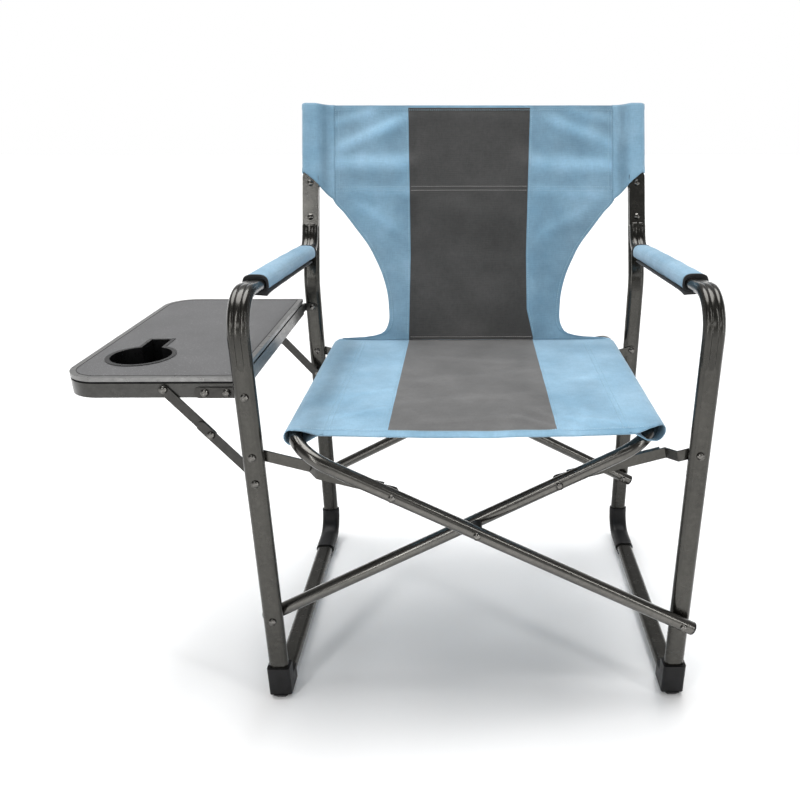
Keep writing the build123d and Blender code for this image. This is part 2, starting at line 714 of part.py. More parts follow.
def build_pivots():
    layer = LAYER_GAP + LINK_T + FACE_GAP
    right = [
        rivet(HALF_SPAN, PIVOT_Z, FRONT_A - ROUND_R - FACE_GAP, LEG_BACK),
        rivet(HALF_SPAN, PIVOT_Z, REAR_A - ROUND_R - FACE_GAP, POST_BACK),
        rivet(HALF_SPAN, LINK_LEG_Z, LEG_FRONT, LEG_BACK + layer),
        rivet(HALF_SPAN, LINK_LEG_Z, POST_FRONT - layer, POST_BACK),
    ]
    save(group(right), "leg_rivets_right")
    left = [
        rivet(-HALF_SPAN, PIVOT_Z, LEG_FRONT, FRONT_B + ROUND_R + FACE_GAP),
        rivet(-HALF_SPAN, PIVOT_Z, POST_FRONT, REAR_B + ROUND_R + FACE_GAP),
        rivet(-HALF_SPAN, LINK_LEG_Z, LEG_FRONT, LEG_BACK + layer),
        rivet(-HALF_SPAN, LINK_LEG_Z, POST_FRONT, POST_BACK + layer),
    ]
    save(group(left), "leg_rivets_left")
    centre = [
        rivet(0, CENTRE_Z, FRONT_A - ROUND_R, FRONT_B + ROUND_R + FACE_GAP),
        rivet(0, CENTRE_Z, REAR_A - ROUND_R, REAR_B + ROUND_R + FACE_GAP),
    ]
    save(group(centre), "centre_pivots")
    spacers = []
    for y_a, y_b in ((FRONT_A, FRONT_B), (REAR_A, REAR_B)):
        y0 = y_a + ROUND_R
        y1 = y_b - ROUND_R - FACE_GAP
        ring = pin_y(0, CENTRE_Z, y0, y1, 7.0)
        spacers.append(ring - pin_y(0, CENTRE_Z, y0 - 1, y1 + 1, SHANK_R))
    save(group(spacers), "centre_spacers")


def tube_stud(x, y, head):
    """A link's stud on a cross tube: a head on one side, flush on the side the link lies on."""
    stud = pin_y(x, PIN_Z, y - ROUND_R, y + ROUND_R, SHANK_R)
    return stud + dome(x, PIN_Z, y + head * ROUND_R, head)


def link_button(x, y_face, out):
    """The button that fills a link's outer eye, which lies on the tube's face at y_face."""
    near = y_face + out * LAYER_GAP
    far = near + out * LINK_T
    return pin_y(x, PIN_Z, min(near, far), max(near, far), SHANK_R) + dome(x, PIN_Z, far, out)


def build_links():
    save(link_arm(-1, LEG_BACK, 1, FRONT_A + ROUND_R, 1, INNER_STEP), "link_front_left")
    save(link_arm(1, LEG_BACK, 1, FRONT_B + ROUND_R, 1, OUTER_STEP), "link_front_right")
    save(link_arm(-1, POST_BACK, 1, REAR_A + ROUND_R, 1, INNER_STEP), "link_rear_left")
    save(link_arm(1, POST_FRONT, -1, REAR_B - ROUND_R, -1, INNER_STEP), "link_rear_right")
    save(group((tube_stud(-PIN_X, FRONT_A, -1), tube_stud(-PIN_X, REAR_A, -1))), "link_pins_left")
    save(group((tube_stud(PIN_X, FRONT_B, -1), tube_stud(PIN_X, REAR_B, 1))), "link_pins_right")
    left = (link_button(-PIN_X, FRONT_A + ROUND_R, 1), link_button(-PIN_X, REAR_A + ROUND_R, 1))
    right = (link_button(PIN_X, FRONT_B + ROUND_R, 1), link_button(PIN_X, REAR_B - ROUND_R, -1))
    save(group(left), "link_eye_rivets_left")
    save(group(right), "link_eye_rivets_right")


def build_sling():
    front_left = FRONT_A + FRONT_BEND
    front_right = FRONT_B + FRONT_BEND
    save(rail_sleeve(-1, front_left, REAR_A - REAR_BEND), "seat_sleeve_left")
    save(rail_sleeve(1, front_right, REAR_B - REAR_BEND), "seat_sleeve_right")
    save(seat_panel(-RAIL_X, GREY_LEFT), "seat_side_left")
    save(seat_panel(GREY_LEFT, 0), "seat_centre_left")
    save(seat_panel(0, GREY_RIGHT), "seat_centre_right")
    save(seat_panel(GREY_RIGHT, RAIL_X), "seat_side_right")
    save(back_half(-1, GREY_LEFT), "back_side_left")
    save(back_half(1, GREY_RIGHT), "back_side_right")
    save(back_centre(), "back_centre")


def build_table():
    save(table_board(), "table_board")
    save(table_rim(), "table_rim")
    save(table_gasket(), "table_gasket")
    save(table_frame(), "table_frame")
    save(cup_holder(), "cup_holder")
    save(front_bracket(), "table_bracket_front")
    save(rear_bracket(), "table_bracket_rear")
    front_face = TABLE_FRONT_Y - LAYER_GAP - STRIP_STEEL
    rear_face = TABLE_REAR_Y + LAYER_GAP + STRIP_STEEL
    rivets = []
    for x in BRACKET_RIVETS_X:
        rivets.append(rivet(x, HINGE_Z, front_face, TABLE_FRONT_Y + FRAME_WALL))
        rivets.append(rivet(x, HINGE_Z, TABLE_REAR_Y - FRAME_WALL, rear_face))
    rivets.append(rivet(*BRACE_TOP, front_face - FACE_GAP, TABLE_FRONT_Y + FRAME_WALL))
    rivets.append(rivet(*BRACE_TOP, TABLE_REAR_Y - FRAME_WALL, rear_face + FACE_GAP))
    save(group(rivets), "table_rivets")


def build_table_pivots():
    """The pins and washers that stay on the left side frame."""
    front_face = TABLE_FRONT_Y - LAYER_GAP - STRIP_STEEL
    rear_face = TABLE_REAR_Y + LAYER_GAP + STRIP_STEEL
    low_f1 = front_face - LAYER_GAP
    low_f0 = low_f1 - STRIP_STEEL
    low_r0 = rear_face + LAYER_GAP
    low_r1 = low_r0 + STRIP_STEEL
    eye_front = POST_FRONT - TUBE_GAP - STRIP_STEEL - FACE_GAP
    pins = [
        rivet(-HALF_SPAN, HINGE_Z, LEG_FRONT, TABLE_FRONT_Y - LAYER_GAP + FACE_GAP),
        rivet(-HALF_SPAN, HINGE_Z, eye_front, POST_BACK),
        pin_y(*BRACE_LOW, LEG_FRONT, low_f1, SHANK_R) + dome(*BRACE_LOW, LEG_FRONT, -1),
        pin_y(*BRACE_LOW, low_r0, POST_BACK, SHANK_R) + dome(*BRACE_LOW, POST_BACK, 1),
    ]
    save(group(pins), "table_pivot_pins")
    rings = (
        (-HALF_SPAN, HINGE_Z, LEG_BACK, front_face - FACE_GAP),
        (*BRACE_LOW, LEG_BACK, low_f0 - FACE_GAP),
        (*BRACE_LOW, low_r1 + FACE_GAP, POST_FRONT),
    )
    spacers = []
    for x, z, y0, y1 in rings:
        ring = pin_y(x, z, y0, y1, 6.0)
        spacers.append(ring - pin_y(x, z, y0 - 1, y1 + 1, SHANK_R))
    save(group(spacers), "table_pivot_spacers")


def build_braces():
    knee, _ = knee_point()
    up_f1 = TABLE_FRONT_Y - LAYER_GAP
    up_f0 = up_f1 - STRIP_STEEL
    low_f1 = up_f0 - LAYER_GAP
    low_f0 = low_f1 - STRIP_STEEL
    up_r0 = TABLE_REAR_Y + LAYER_GAP
    up_r1 = up_r0 + STRIP_STEEL
    low_r0 = up_r1 + LAYER_GAP
    low_r1 = low_r0 + STRIP_STEEL
    save(upper_brace(up_f0, up_f1), "brace_upper_front")
    save(upper_brace(up_r0, up_r1), "brace_upper_rear")
    save(lower_brace(low_f0, low_f1), "brace_lower_front")
    save(lower_brace(low_r0, low_r1), "brace_lower_rear")
    front = pin_y(*knee, low_f0, low_f1, SHANK_R) + dome(*knee, low_f0, -1)
    rear = pin_y(*knee, low_r0, low_r1, SHANK_R) + dome(*knee, low_r1, 1)
    save(group((front, rear)), "knee_rivets")


build_side(1, "right")
build_side(-1, "left")
build_cross(-1, "a", FRONT_A, REAR_A)
build_cross(1, "b", FRONT_B, REAR_B)
build_pivots()
build_links()
build_sling()
build_table()
build_table_pivots()
build_braces()
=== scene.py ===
import json
import math

import bmesh
import bpy
import numpy as np
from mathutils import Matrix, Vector, noise


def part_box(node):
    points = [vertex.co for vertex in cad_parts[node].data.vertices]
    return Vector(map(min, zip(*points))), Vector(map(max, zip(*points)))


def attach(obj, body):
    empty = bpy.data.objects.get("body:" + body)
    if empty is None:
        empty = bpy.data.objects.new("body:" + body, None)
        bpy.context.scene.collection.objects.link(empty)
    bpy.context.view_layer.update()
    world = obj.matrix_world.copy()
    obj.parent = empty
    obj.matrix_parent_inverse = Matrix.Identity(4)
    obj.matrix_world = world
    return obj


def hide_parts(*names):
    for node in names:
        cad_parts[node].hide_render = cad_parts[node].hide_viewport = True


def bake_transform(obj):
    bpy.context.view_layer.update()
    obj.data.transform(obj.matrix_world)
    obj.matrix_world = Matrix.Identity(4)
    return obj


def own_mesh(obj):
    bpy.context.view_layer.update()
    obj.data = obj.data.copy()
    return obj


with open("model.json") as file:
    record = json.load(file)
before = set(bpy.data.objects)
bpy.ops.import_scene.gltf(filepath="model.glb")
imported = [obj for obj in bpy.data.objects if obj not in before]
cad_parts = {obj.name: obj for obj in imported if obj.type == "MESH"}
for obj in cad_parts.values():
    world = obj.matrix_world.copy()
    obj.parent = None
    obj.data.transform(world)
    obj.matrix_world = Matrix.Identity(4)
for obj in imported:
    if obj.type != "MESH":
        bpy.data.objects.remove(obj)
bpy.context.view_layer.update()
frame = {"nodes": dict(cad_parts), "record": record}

MM = 0.001

# ---------------- the chair's own axes
# Chair millimetres: X across from the middle, Y back from the front legs, Z up from the floor.
OVAL_R = 7.0
OVAL_HALF_FLAT = 7.0
left_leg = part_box("upper_tube_left")
right_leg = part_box("upper_tube_right")
MID_X = (left_leg[0][0] + left_leg[1][0] + right_leg[0][0] + right_leg[1][0]) / 4
LEG_Y = right_leg[0][1] + OVAL_R * MM
HALF_SPAN = 290.0
RAIL_X = 242.0
RAIL_Z = 409.1
RAIL_R = 9.5


def at(x, y, z):
    """Chair millimetres to the row frame in metres."""
    return Vector((MID_X + x * MM, LEG_Y + y * MM, z * MM))


def at_many(points):
    out = np.asarray(points, float) * MM
    out[..., 0] += MID_X
    out[..., 1] += LEG_Y
    return out


# ---------------- materials
def new_material(name):
    mat = bpy.data.materials.new(name)
    mat.use_nodes = True
    tree = mat.node_tree
    bsdf = tree.nodes["Principled BSDF"]
    coords = tree.nodes.new("ShaderNodeTexCoord")
    return mat, tree, bsdf, coords.outputs["Object"]


def put(made, socket, value):
    made.inputs[socket].default_value = value


def node(tree, kind, **values):
    made = tree.nodes.new(kind)
    for key, value in values.items():
        if key in made.inputs:
            put(made, key, value)
        else:
            setattr(made, key, value)
    return made


def noise_node(tree, coords, scale, detail=4.0, rough=0.55, stretch=None):
    tex = node(tree, "ShaderNodeTexNoise", Scale=scale, Detail=detail, Roughness=rough)
    if stretch:
        mapping = tree.nodes.new("ShaderNodeMapping")
        put(mapping, "Scale", stretch)
        tree.links.new(coords, mapping.inputs["Vector"])
        tree.links.new(mapping.outputs["Vector"], tex.inputs["Vector"])
    else:
        tree.links.new(coords, tex.inputs["Vector"])
    return tex.outputs["Fac"]


def ramp(tree, fac, stops):
    made = tree.nodes.new("ShaderNodeValToRGB")
    cr = made.color_ramp
    while len(cr.elements) < len(stops):
        cr.elements.new(0.5)
    for element, (place, colour) in zip(cr.elements, stops):
        element.position = place
        element.color = (*colour, 1) if len(colour) == 3 else (colour[0],) * 3 + (1,)
    tree.links.new(fac, made.inputs["Fac"])
    return made.outputs["Color"]


def mix(tree, blend, fac, a, b):
    made = node(tree, "ShaderNodeMix", data_type="RGBA", blend_type=blend)
    if isinstance(fac, float):
        put(made, 0, fac)
    else:
        tree.links.new(fac, made.inputs[0])
    tree.links.new(a, made.inputs[6])
    tree.links.new(b, made.inputs[7])
    return made.outputs[2]


def math_node(tree, op, a, b):
    made = node(tree, "ShaderNodeMath", operation=op)
    for i, value in enumerate((a, b)):
        if isinstance(value, float):
            put(made, i, value)
        else:
            tree.links.new(value, made.inputs[i])
    return made.outputs[0]


def bump(tree, bsdf, height, strength, distance):
    made = node(tree, "ShaderNodeBump", Strength=strength, Distance=distance)
    tree.links.new(height, made.inputs["Height"])
    tree.links.new(made.outputs["Normal"], bsdf.inputs["Normal"])


def waves(tree, coords, direction, period_mm, distort=0.6):
    wave = node(tree, "ShaderNodeTexWave", bands_direction=direction, Distortion=distort, Detail=2.0)
    put(wave, "Scale", 2 * math.pi / (20 * period_mm * MM))
    put(wave, "Detail Scale", 0.4)
    tree.links.new(coords, wave.inputs["Vector"])
    return wave.outputs["Fac"]


def canvas(name, dark, base, pale, period=1.5, strength=0.45, speck=0.35):
    """Plain-woven polyester canvas: two crossing thread directions, uneven dye, and painted light and shade
    read from each sheet's stored crease values.
    """
    mat, tree, bsdf, coords = new_material(name)
    across = waves(tree, coords, "X", period)
    up = waves(tree, coords, "Z", period * 0.9)
    back = waves(tree, coords, "Y", period * 0.9)
    woven = math_node(tree, "ADD", across, math_node(tree, "MAXIMUM", up, back))
    woven = math_node(tree, "MULTIPLY", woven, 0.5)
    broad = noise_node(tree, coords, 9.0, 5.0, 0.6)
    colour = ramp(tree, broad, [(0.30, dark), (0.5, base), (0.72, pale)])
    threads = noise_node(tree, coords, 420.0, 3.0, 0.6, (1.0, 0.25, 0.25))
    weft = noise_node(tree, coords, 420.0, 3.0, 0.6, (0.25, 1.0, 1.0))
    fleck = math_node(tree, "ADD", threads, weft)
    fleck = math_node(tree, "MULTIPLY", fleck, 0.5)
    tint = ramp(tree, fleck, [(0.38, (0.80,)), (0.5, (1.0,)), (0.64, (1.18,))])
    colour = mix(tree, "MULTIPLY", speck, colour, tint)
    shade = ramp(tree, woven, [(0.1, (0.86,)), (0.8, (1.05,))])
    colour = mix(tree, "MULTIPLY", 0.6, colour, shade)
    # Painted light and shade: the colour is multiplied by one plus the sheet's stored crease value, paler on
    # creases and darker in shaded bands.
    wear_and_painted_shade = node(tree, "ShaderNodeAttribute")
    wear_and_painted_shade.attribute_name = "crease"
    fade = math_node(tree, "ADD", wear_and_painted_shade.outputs["Fac"], 1.0)
    colour = mix(tree, "MULTIPLY", 1.0, colour, fade)
    tree.links.new(colour, bsdf.inputs["Base Color"])
    rough = ramp(tree, fleck, [(0.3, (0.78,)), (0.7, (0.92,))])
    tree.links.new(rough, bsdf.inputs["Roughness"])
    put(bsdf, "Sheen Weight", 0.25)
    put(bsdf, "Sheen Roughness", 0.45)
    put(bsdf, "Specular IOR Level", 0.25)
    lump = math_node(tree, "ADD", woven, math_node(tree, "MULTIPLY", fleck, 0.8))
    bump(tree, bsdf, lump, strength, 0.0005)
    return mat


def coated_metal(name, dark, base, pale, metallic, rough, grain=900.0, lift=0.12, coat=0.0):
    """Satin coated metal: fine orange peel, faint blotches, scuffed edges and a clear coat."""
    mat, tree, bsdf, coords = new_material(name)
    blotch = noise_node(tree, coords, 14.0, 6.0, 0.6)
    colour = ramp(tree, blotch, [(0.3, dark), (0.5, base), (0.75, pale)])
    geometry = tree.nodes.new("ShaderNodeNewGeometry")
    edge = ramp(tree, geometry.outputs["Pointiness"], [(0.505, (0.0,)), (0.60, (1.0,))])
    scuff = noise_node(tree, coords, 130.0, 4.0, 0.7)
    wear_and_painted_shade = math_node(tree, "MULTIPLY", edge, scuff)
    bright = ramp(tree, wear_and_painted_shade, [(0.0, pale), (1.0, tuple(min(1.0, c * 1.7) for c in pale))])
    colour = mix(tree, "MIX", wear_and_painted_shade, colour, bright)
    tree.links.new(colour, bsdf.inputs["Base Color"])
    fine = noise_node(tree, coords, 60.0, 4.0, 0.6)
    satin = ramp(tree, fine, [(0.3, (rough[0],)), (0.7, (rough[1],))])
    tree.links.new(satin, bsdf.inputs["Roughness"])
    put(bsdf, "Metallic", metallic)
    put(bsdf, "Coat Weight", coat)
    put(bsdf, "Coat Roughness", 0.14)
    bump(tree, bsdf, noise_node(tree, coords, grain, 2.0, 0.5), lift, 0.0004)
    return mat


def plastic(name, base, pale, rough_lo=0.35, rough_hi=0.55):
    mat, tree, bsdf, coords = new_material(name)
    mottle = noise_node(tree, coords, 35.0, 5.0, 0.6)
    tree.links.new(ramp(tree, mottle, [(0.35, base), (0.75, pale)]), bsdf.inputs["Base Color"])
    dust = noise_node(tree, coords, 90.0, 4.0, 0.7)
    tree.links.new(ramp(tree, dust, [(0.3, (rough_lo,)), (0.7, (rough_hi,))]), bsdf.inputs["Roughness"])
    put(bsdf, "Specular IOR Level", 0.22)
    bump(tree, bsdf, noise_node(tree, coords, 1500.0, 2.0, 0.5), 0.2, 0.0003)
    return mat


def laminate(name):
    """Grey laminate with a fine pale and dark speckle."""
    mat, tree, bsdf, coords = new_material(name)
    speck = noise_node(tree, coords, 620.0, 2.0, 0.5)
    base = (0.094, 0.094, 0.096)
    dark = (0.070, 0.070, 0.074)
    pale = (0.26, 0.26, 0.265)
    colour = ramp(tree, speck, [(0.30, dark), (0.46, base), (0.60, base), (0.72, pale)])
    cloud = ramp(tree, noise_node(tree, coords, 12.0, 4.0, 0.6), [(0.3, (0.9,)), (0.7, (1.1,))])
    tree.links.new(mix(tree, "MULTIPLY", 1.0, colour, cloud), bsdf.inputs["Base Color"])
    tree.links.new(ramp(tree, speck, [(0.3, (0.42,)), (0.7, (0.56,))]), bsdf.inputs["Roughness"])
    put(bsdf, "Specular IOR Level", 0.4)
    bump(tree, bsdf, speck, 0.12, 0.0003)
    return mat


def webbing(name):
    """Black hook-and-loop strip: dense loops on a woven backing."""
    mat, tree, bsdf, coords = new_material(name)
    cell = node(tree, "ShaderNodeTexVoronoi", Scale=900.0)
    tree.links.new(coords, cell.inputs["Vector"])
    loops = cell.outputs["Distance"]
    colour = ramp(tree, loops, [(0.0, (0.030, 0.030, 0.033)), (0.8, (0.008, 0.008, 0.009))])
    tree.links.new(colour, bsdf.inputs["Base Color"])
    put(bsdf, "Roughness", 0.95)
    put(bsdf, "Sheen Weight", 0.15)
    bump(tree, bsdf, loops, 0.6, 0.0005)
    return mat


def thread(name, colour):
    mat, tree, bsdf, coords = new_material(name)
    twist = noise_node(tree, coords, 1800.0, 2.0, 0.5)
    low = tuple(c * 0.7 for c in colour)
    tree.links.new(ramp(tree, twist, [(0.3, low), (0.7, colour)]), bsdf.inputs["Base Color"])
    put(bsdf, "Roughness", 0.7)
    bump(tree, bsdf, twist, 0.4, 0.0003)
    return mat


blue = canvas("blue_canvas", (0.168, 0.315, 0.438), (0.222, 0.380, 0.508), (0.290, 0.462, 0.600))
grey = canvas("grey_canvas", (0.050, 0.050, 0.049), (0.064, 0.064, 0.063), (0.082, 0.081, 0.080), speck=0.6)
seat_grey = canvas("seat_grey_canvas", (0.090, 0.090, 0.089), (0.112, 0.111, 0.110), (0.137, 0.136, 0.134),
                   speck=0.6)
steel = coated_metal("gunmetal", (0.024, 0.0230, 0.0203), (0.035, 0.0336, 0.0296), (0.053, 0.0510, 0.0452),
                     metallic=0.90, rough=(0.20, 0.30), coat=0.35)
# Painted light: a lighter copy of the gunmetal for the round cross tubes, so that they look more brightly
# lit.
steel_painted_light = coated_metal("gunmetal_painted_light", (0.052, 0.050, 0.045), (0.074, 0.071, 0.064),
                          (0.105, 0.101, 0.092), metallic=0.92, rough=(0.17, 0.27), coat=0.45)
dark_steel = coated_metal("dark_gunmetal", (0.014, 0.0135, 0.0122), (0.021, 0.0202, 0.0182),
                          (0.034, 0.0325, 0.0295), metallic=0.8, rough=(0.30, 0.42), coat=0.3)
rivet_steel = coated_metal("rivet_steel", (0.085, 0.082, 0.076), (0.125, 0.120, 0.112), (0.19, 0.184, 0.172),
                           metallic=1.0, rough=(0.14, 0.24), grain=400.0, lift=0.05)
aluminium = coated_metal("rim_aluminium", (0.115, 0.114, 0.112), (0.150, 0.149, 0.147), (0.20, 0.199, 0.196),
                         metallic=0.85, rough=(0.26, 0.38), grain=500.0, lift=0.08)
channel = coated_metal("channel_aluminium", (0.021, 0.0205, 0.019), (0.030, 0.0293, 0.027),
                       (0.045, 0.044, 0.041), metallic=0.82, rough=(0.26, 0.38), grain=500.0,
                       lift=0.08, coat=0.35)
black = plastic("black_plastic", (0.005, 0.005, 0.0055), (0.013, 0.013, 0.0135))
cup_black = plastic("cup_plastic", (0.005, 0.005, 0.0055), (0.012, 0.012, 0.0125), 0.22, 0.38)
board_grey = laminate("table_laminate")
strip_black = webbing("hook_and_loop")
blue_thread = thread("blue_thread", (0.42, 0.62, 0.74))
pale_thread = thread("pale_thread", (0.62, 0.60, 0.58))


# ---------------- CAD pieces that stay
FINISH = {
    "frame_steel": steel,
    "rivet_steel": rivet_steel,
    "black_plastic": black,
    "table_laminate": board_grey,
    "table_aluminium": aluminium,
}
SPECIAL = {
    # The cross tubes take the lighter, painted-light copy of the gunmetal.
    "cross_tube_a": steel_painted_light,
    "cross_tube_b": steel_painted_light,
    "cup_holder": cup_black,
    "table_frame": channel,
}
for dark_part in ("brace_upper", "brace_lower", "table_bracket"):
    for end in ("front", "rear"):
        SPECIAL[f"{dark_part}_{end}"] = dark_steel
for part in frame["record"]["subparts"]:
    cad = frame["nodes"][part["node"]]
    finish = SPECIAL.get(part["node"], FINISH.get(part["material_slot"]))
    if finish:
        cad.data.materials.clear()
        cad.data.materials.append(finish)


# ---------------- mesh helpers
def smooth_noise(x, y, z=0.0):
    return noise.noise(Vector((x, y, z)))


def link(name, data):
    obj = bpy.data.objects.new(name, data)
    bpy.context.scene.collection.objects.link(obj)
    return obj


def make_object(name, verts, faces, materials, face_mats=None):
    mesh = bpy.data.meshes.new(name)
    mesh.from_pydata([tuple(v) for v in verts], [], faces)
    for mat in materials:
        mesh.materials.append(mat)
    for i, poly in enumerate(mesh.polygons):
        poly.use_smooth = True
        if face_mats is not None:
            poly.material_index = face_mats[i]
    mesh.update()
    bm = bmesh.new()
    bm.from_mesh(mesh)
    bmesh.ops.recalc_face_normals(bm, faces=bm.faces)
    bm.to_mesh(mesh)
    bm.free()
    return link(name, mesh)


def tube_faces(base, rings, n):
    """Faces of a closed tube: its sides from ring to ring, then its two ends."""
    faces = []
    for i in range(rings - 1):
        for k in range(n):
            a = base + i * n + k
            b = base + i * n + (k + 1) % n
            faces.append([a, b, b + n, a + n])
    faces.append([base + k for k in range(n)][::-1])
    faces.append([base + (rings - 1) * n + k for k in range(n)])
    return faces


def sheet_normals(grid):
    """Unit normals of a grid of points."""
    across = np.gradient(grid, axis=1)
    along = np.gradient(grid, axis=0)
    normal = np.cross(across, along)
    return normal / np.maximum(np.linalg.norm(normal, axis=2, keepdims=True), 1e-12)


def cloth(name, grid, thick, materials, column_mats):
    """A closed sheet about a grid of chair points; the thickness is one number or one for each point."""
    grid = np.asarray(grid, float)
    rows, cols = grid.shape[:2]
    normal = sheet_normals(grid)
    half = np.asarray(thick, float)[..., None] / 2
    front = at_many(grid + normal * half).reshape(-1, 3)
    back = at_many(grid - normal * half).reshape(-1, 3)
    verts = np.vstack([front, back])
    count = rows * cols
    faces = []
    mats = []
    spans = cols - 1
    for i in range(rows - 1):
        for j in range(spans):
            quad = [i * cols + j, i * cols + j + 1, (i + 1) * cols + j + 1, (i + 1) * cols + j]
            faces.append(quad)
            faces.append([count + q for q in reversed(quad)])
            mats += [column_mats[j]] * 2
    for i, step in ((0, 1), (rows - 1, -1)):
        for j in range(spans):
            a = i * cols + j
            faces.append([a, a + 1, count + a + 1, count + a][::-step])
            mats.append(column_mats[j])
    for j in (0, cols - 1):
        for i in range(rows - 1):
            a = i * cols + j
            b = (i + 1) * cols + j
            faces.append([a, b, count + b, count + a])
            mats.append(column_mats[min(j, cols - 2)])
    return make_object(name, verts, faces, materials, mats)


def store_painted_shading(obj, values):
    """Store the painted light and shade at each point; both faces of the sheet share the grid's values."""
    values = np.asarray(values, float).reshape(-1)
    layer = obj.data.attributes.new("crease", "FLOAT", "POINT")
    layer.data.foreach_set("value", np.concatenate([values, values]))


def edge_rows(obj, rows, spans, chosen):
    """Give the chosen rows of a cloth, and its end caps, the first material."""
    for i in chosen:
        for k in range(2 * spans):
            obj.data.polygons[i * spans * 2 + k].material_index = 0
    caps = (rows - 1) * spans * 2
    first = 0 if 0 in chosen else spans
    for k in range(spans):
        obj.data.polygons[caps + first + k].material_index = 0


def edge_steps(length, step, band=(0.0, 0.8, 4.0, 7.4, 8.8)):
    """Distances from one edge: close together over the hem, then even."""
    inner = max(2, int(round((length - 2 * band[-1]) / step)))
    middle = np.linspace(band[-1], length - band[-1], inner + 1)
    return np.concatenate([band[:-1], middle, [length - b for b in reversed(band[:-1])]])


def hem(distance, extra=1.2, width=7.8):
    """Extra thickness of a turned hem at a distance from the edge."""
    return extra * np.clip((width - distance) / 0.9 + 0.5, 0, 1)


def run_along(pts):
    """Distance along a polyline at each of its points."""
    return np.concatenate([[0], np.cumsum(np.linalg.norm(np.diff(pts, axis=0), axis=1))])


STITCH_RING = [(math.cos(a), math.sin(a)) for a in np.linspace(0, 2 * math.pi, 7)[:-1]]


def stitches(name, lines, mat, length=2.3, gap=1.1, radius=0.32):
    """Rows of short thread stitches along polylines of (point, outward normal) in chair millimetres."""
    verts = []
    faces = []
    for line in lines:
        pts = np.array([p for p, _ in line], float)
        nrm = np.array([n for _, n in line], float)
        run = run_along(pts)
        where = np.arange(gap, run[-1] - length, length + gap)
        for s in where:
            stops = (s, s + length / 2, s + length)
            ends = [np.array([np.interp(t, run, pts[:, k]) for k in range(3)]) for t in stops]
            out = np.array([np.interp(s, run, nrm[:, k]) for k in range(3)])
            out /= np.linalg.norm(out)
            way = ends[2] - ends[0]
            way /= np.linalg.norm(way)
            side = np.cross(way, out)
            base = len(verts)
            for t, (centre, swell) in enumerate(((ends[0], 0.45), (ends[1], 1.0), (ends[2], 0.45))):
                middle = centre + out * (0.12 if t == 1 else -0.12)
                for c, d in STITCH_RING:
                    verts.append(middle + (side * c * 1.15 + out * d) * radius * swell)
            faces += tube_faces(base, 3, len(STITCH_RING))
    return make_object(name, at_many(verts), faces, [mat])


# ---------------- the back
POST_Y = 466.0
POST_KINK_Z = 519.0
POST_LEAN = 0.439
LEAN_COS = 1 / math.hypot(1, POST_LEAN)
LEAN_SIN = POST_LEAN * LEAN_COS
BACK_FOOT_Y = 431.0
BACK_FOOT_Z = 424.5
BACK_SLOPE = 0.4052
BACK_TOP_Z = 807.0
SEAM_X = 252.5
CLOTH_T = 1.3
CUTOUT = (
    (252.5, 830.0), (252.5, 700.0), (252.5, 655.0), (232.0, 630.0), (213.0, 606.5), (190.0, 577.5),
    (176.0, 552.5), (164.5, 527.5), (156.0, 498.0), (153.0, 470.0), (153.5, 450.0), (162.0, 434.0),
    (180.0, 427.5), (205.0, 424.8), (236.0, 423.5), (262.0, 422.5),
)


def catmull(points, per=12):
    pts = np.array(points, float)
    out = []
    for i in range(1, len(pts) - 2):
        p0, p1, p2, p3 = pts[i - 1:i + 3]
        for t in np.linspace(0, 1, per, endpoint=False):
            out.append(0.5 * (2 * p1 + (p2 - p0) * t + (2 * p0 - 5 * p1 + 4 * p2 - p3) * t * t
                              + (3 * p1 - p0 - 3 * p2 + p3) * t ** 3))
    out.append(pts[-2])
    return np.array(out)


outline = catmull(CUTOUT)
order = np.argsort(outline[:, 1])


def back_half_width(z):
    return float(np.interp(z, outline[order, 1], outline[order, 0]))


def post_y(z):
    return POST_Y + POST_LEAN * (z - POST_KINK_Z)


def ridge(x, z, x0, z0, x1, z1, width, height):
    """A soft crease along a segment."""
    dx, dz = x1 - x0, z1 - z0
    span = math.hypot(dx, dz)
    t = ((x - x0) * dx + (z - z0) * dz) / span ** 2
    away = abs((x - x0) * dz - (z - z0) * dx) / span
    fade = math.exp(-((max(0.0, -t, t - 1)) * span / (2.2 * width)) ** 2)
    return height * math.exp(-(away / width) ** 2) * fade


CREASE_DEPTH = 2.8
CREASES = (
    (-246, 712, -128, 716, 13, 2.6), (-232, 742, -150, 776, 9, 2.3), (-150, 776, -122, 786, 8, 1.2),
    (-240, 781, -190, 794, 7, 1.5), (-205, 668, -125, 664, 9, 1.3), (-200, 640, -150, 610, 10, 1.1),
    (246, 708, 112, 714, 12, 2.2), (236, 748, 150, 780, 10, 2.0), (240, 786, 180, 796, 7, 1.3),
    (210, 660, 120, 668, 9, 1.2), (190, 632, 130, 600, 10, 1.0), (-90, 792, 80, 786, 12, 0.9),
    (-60, 640, 70, 628, 14, 0.8), (-40, 560, 60, 548, 16, 0.7),
)


def back_relief(x, z):
    """How far the cloth stands forward of the flat panel, in millimetres."""
    relief = 0.9 * smooth_noise(x / 75, z / 150, 3.1) + 0.5 * smooth_noise(x / 28, z / 60, 8.4)
    for crease in CREASES:
        relief += CREASE_DEPTH * ridge(x, z, *crease)
    free = 1 - (x / SEAM_X) ** 2
    bow = -5.0 * free * math.sin(math.pi * min(1, max(0, (z - BACK_FOOT_Z) / (BACK_TOP_Z - BACK_FOOT_Z))))
    return relief * (0.35 + 0.65 * min(1.0, max(0.0, free * 3))) + bow


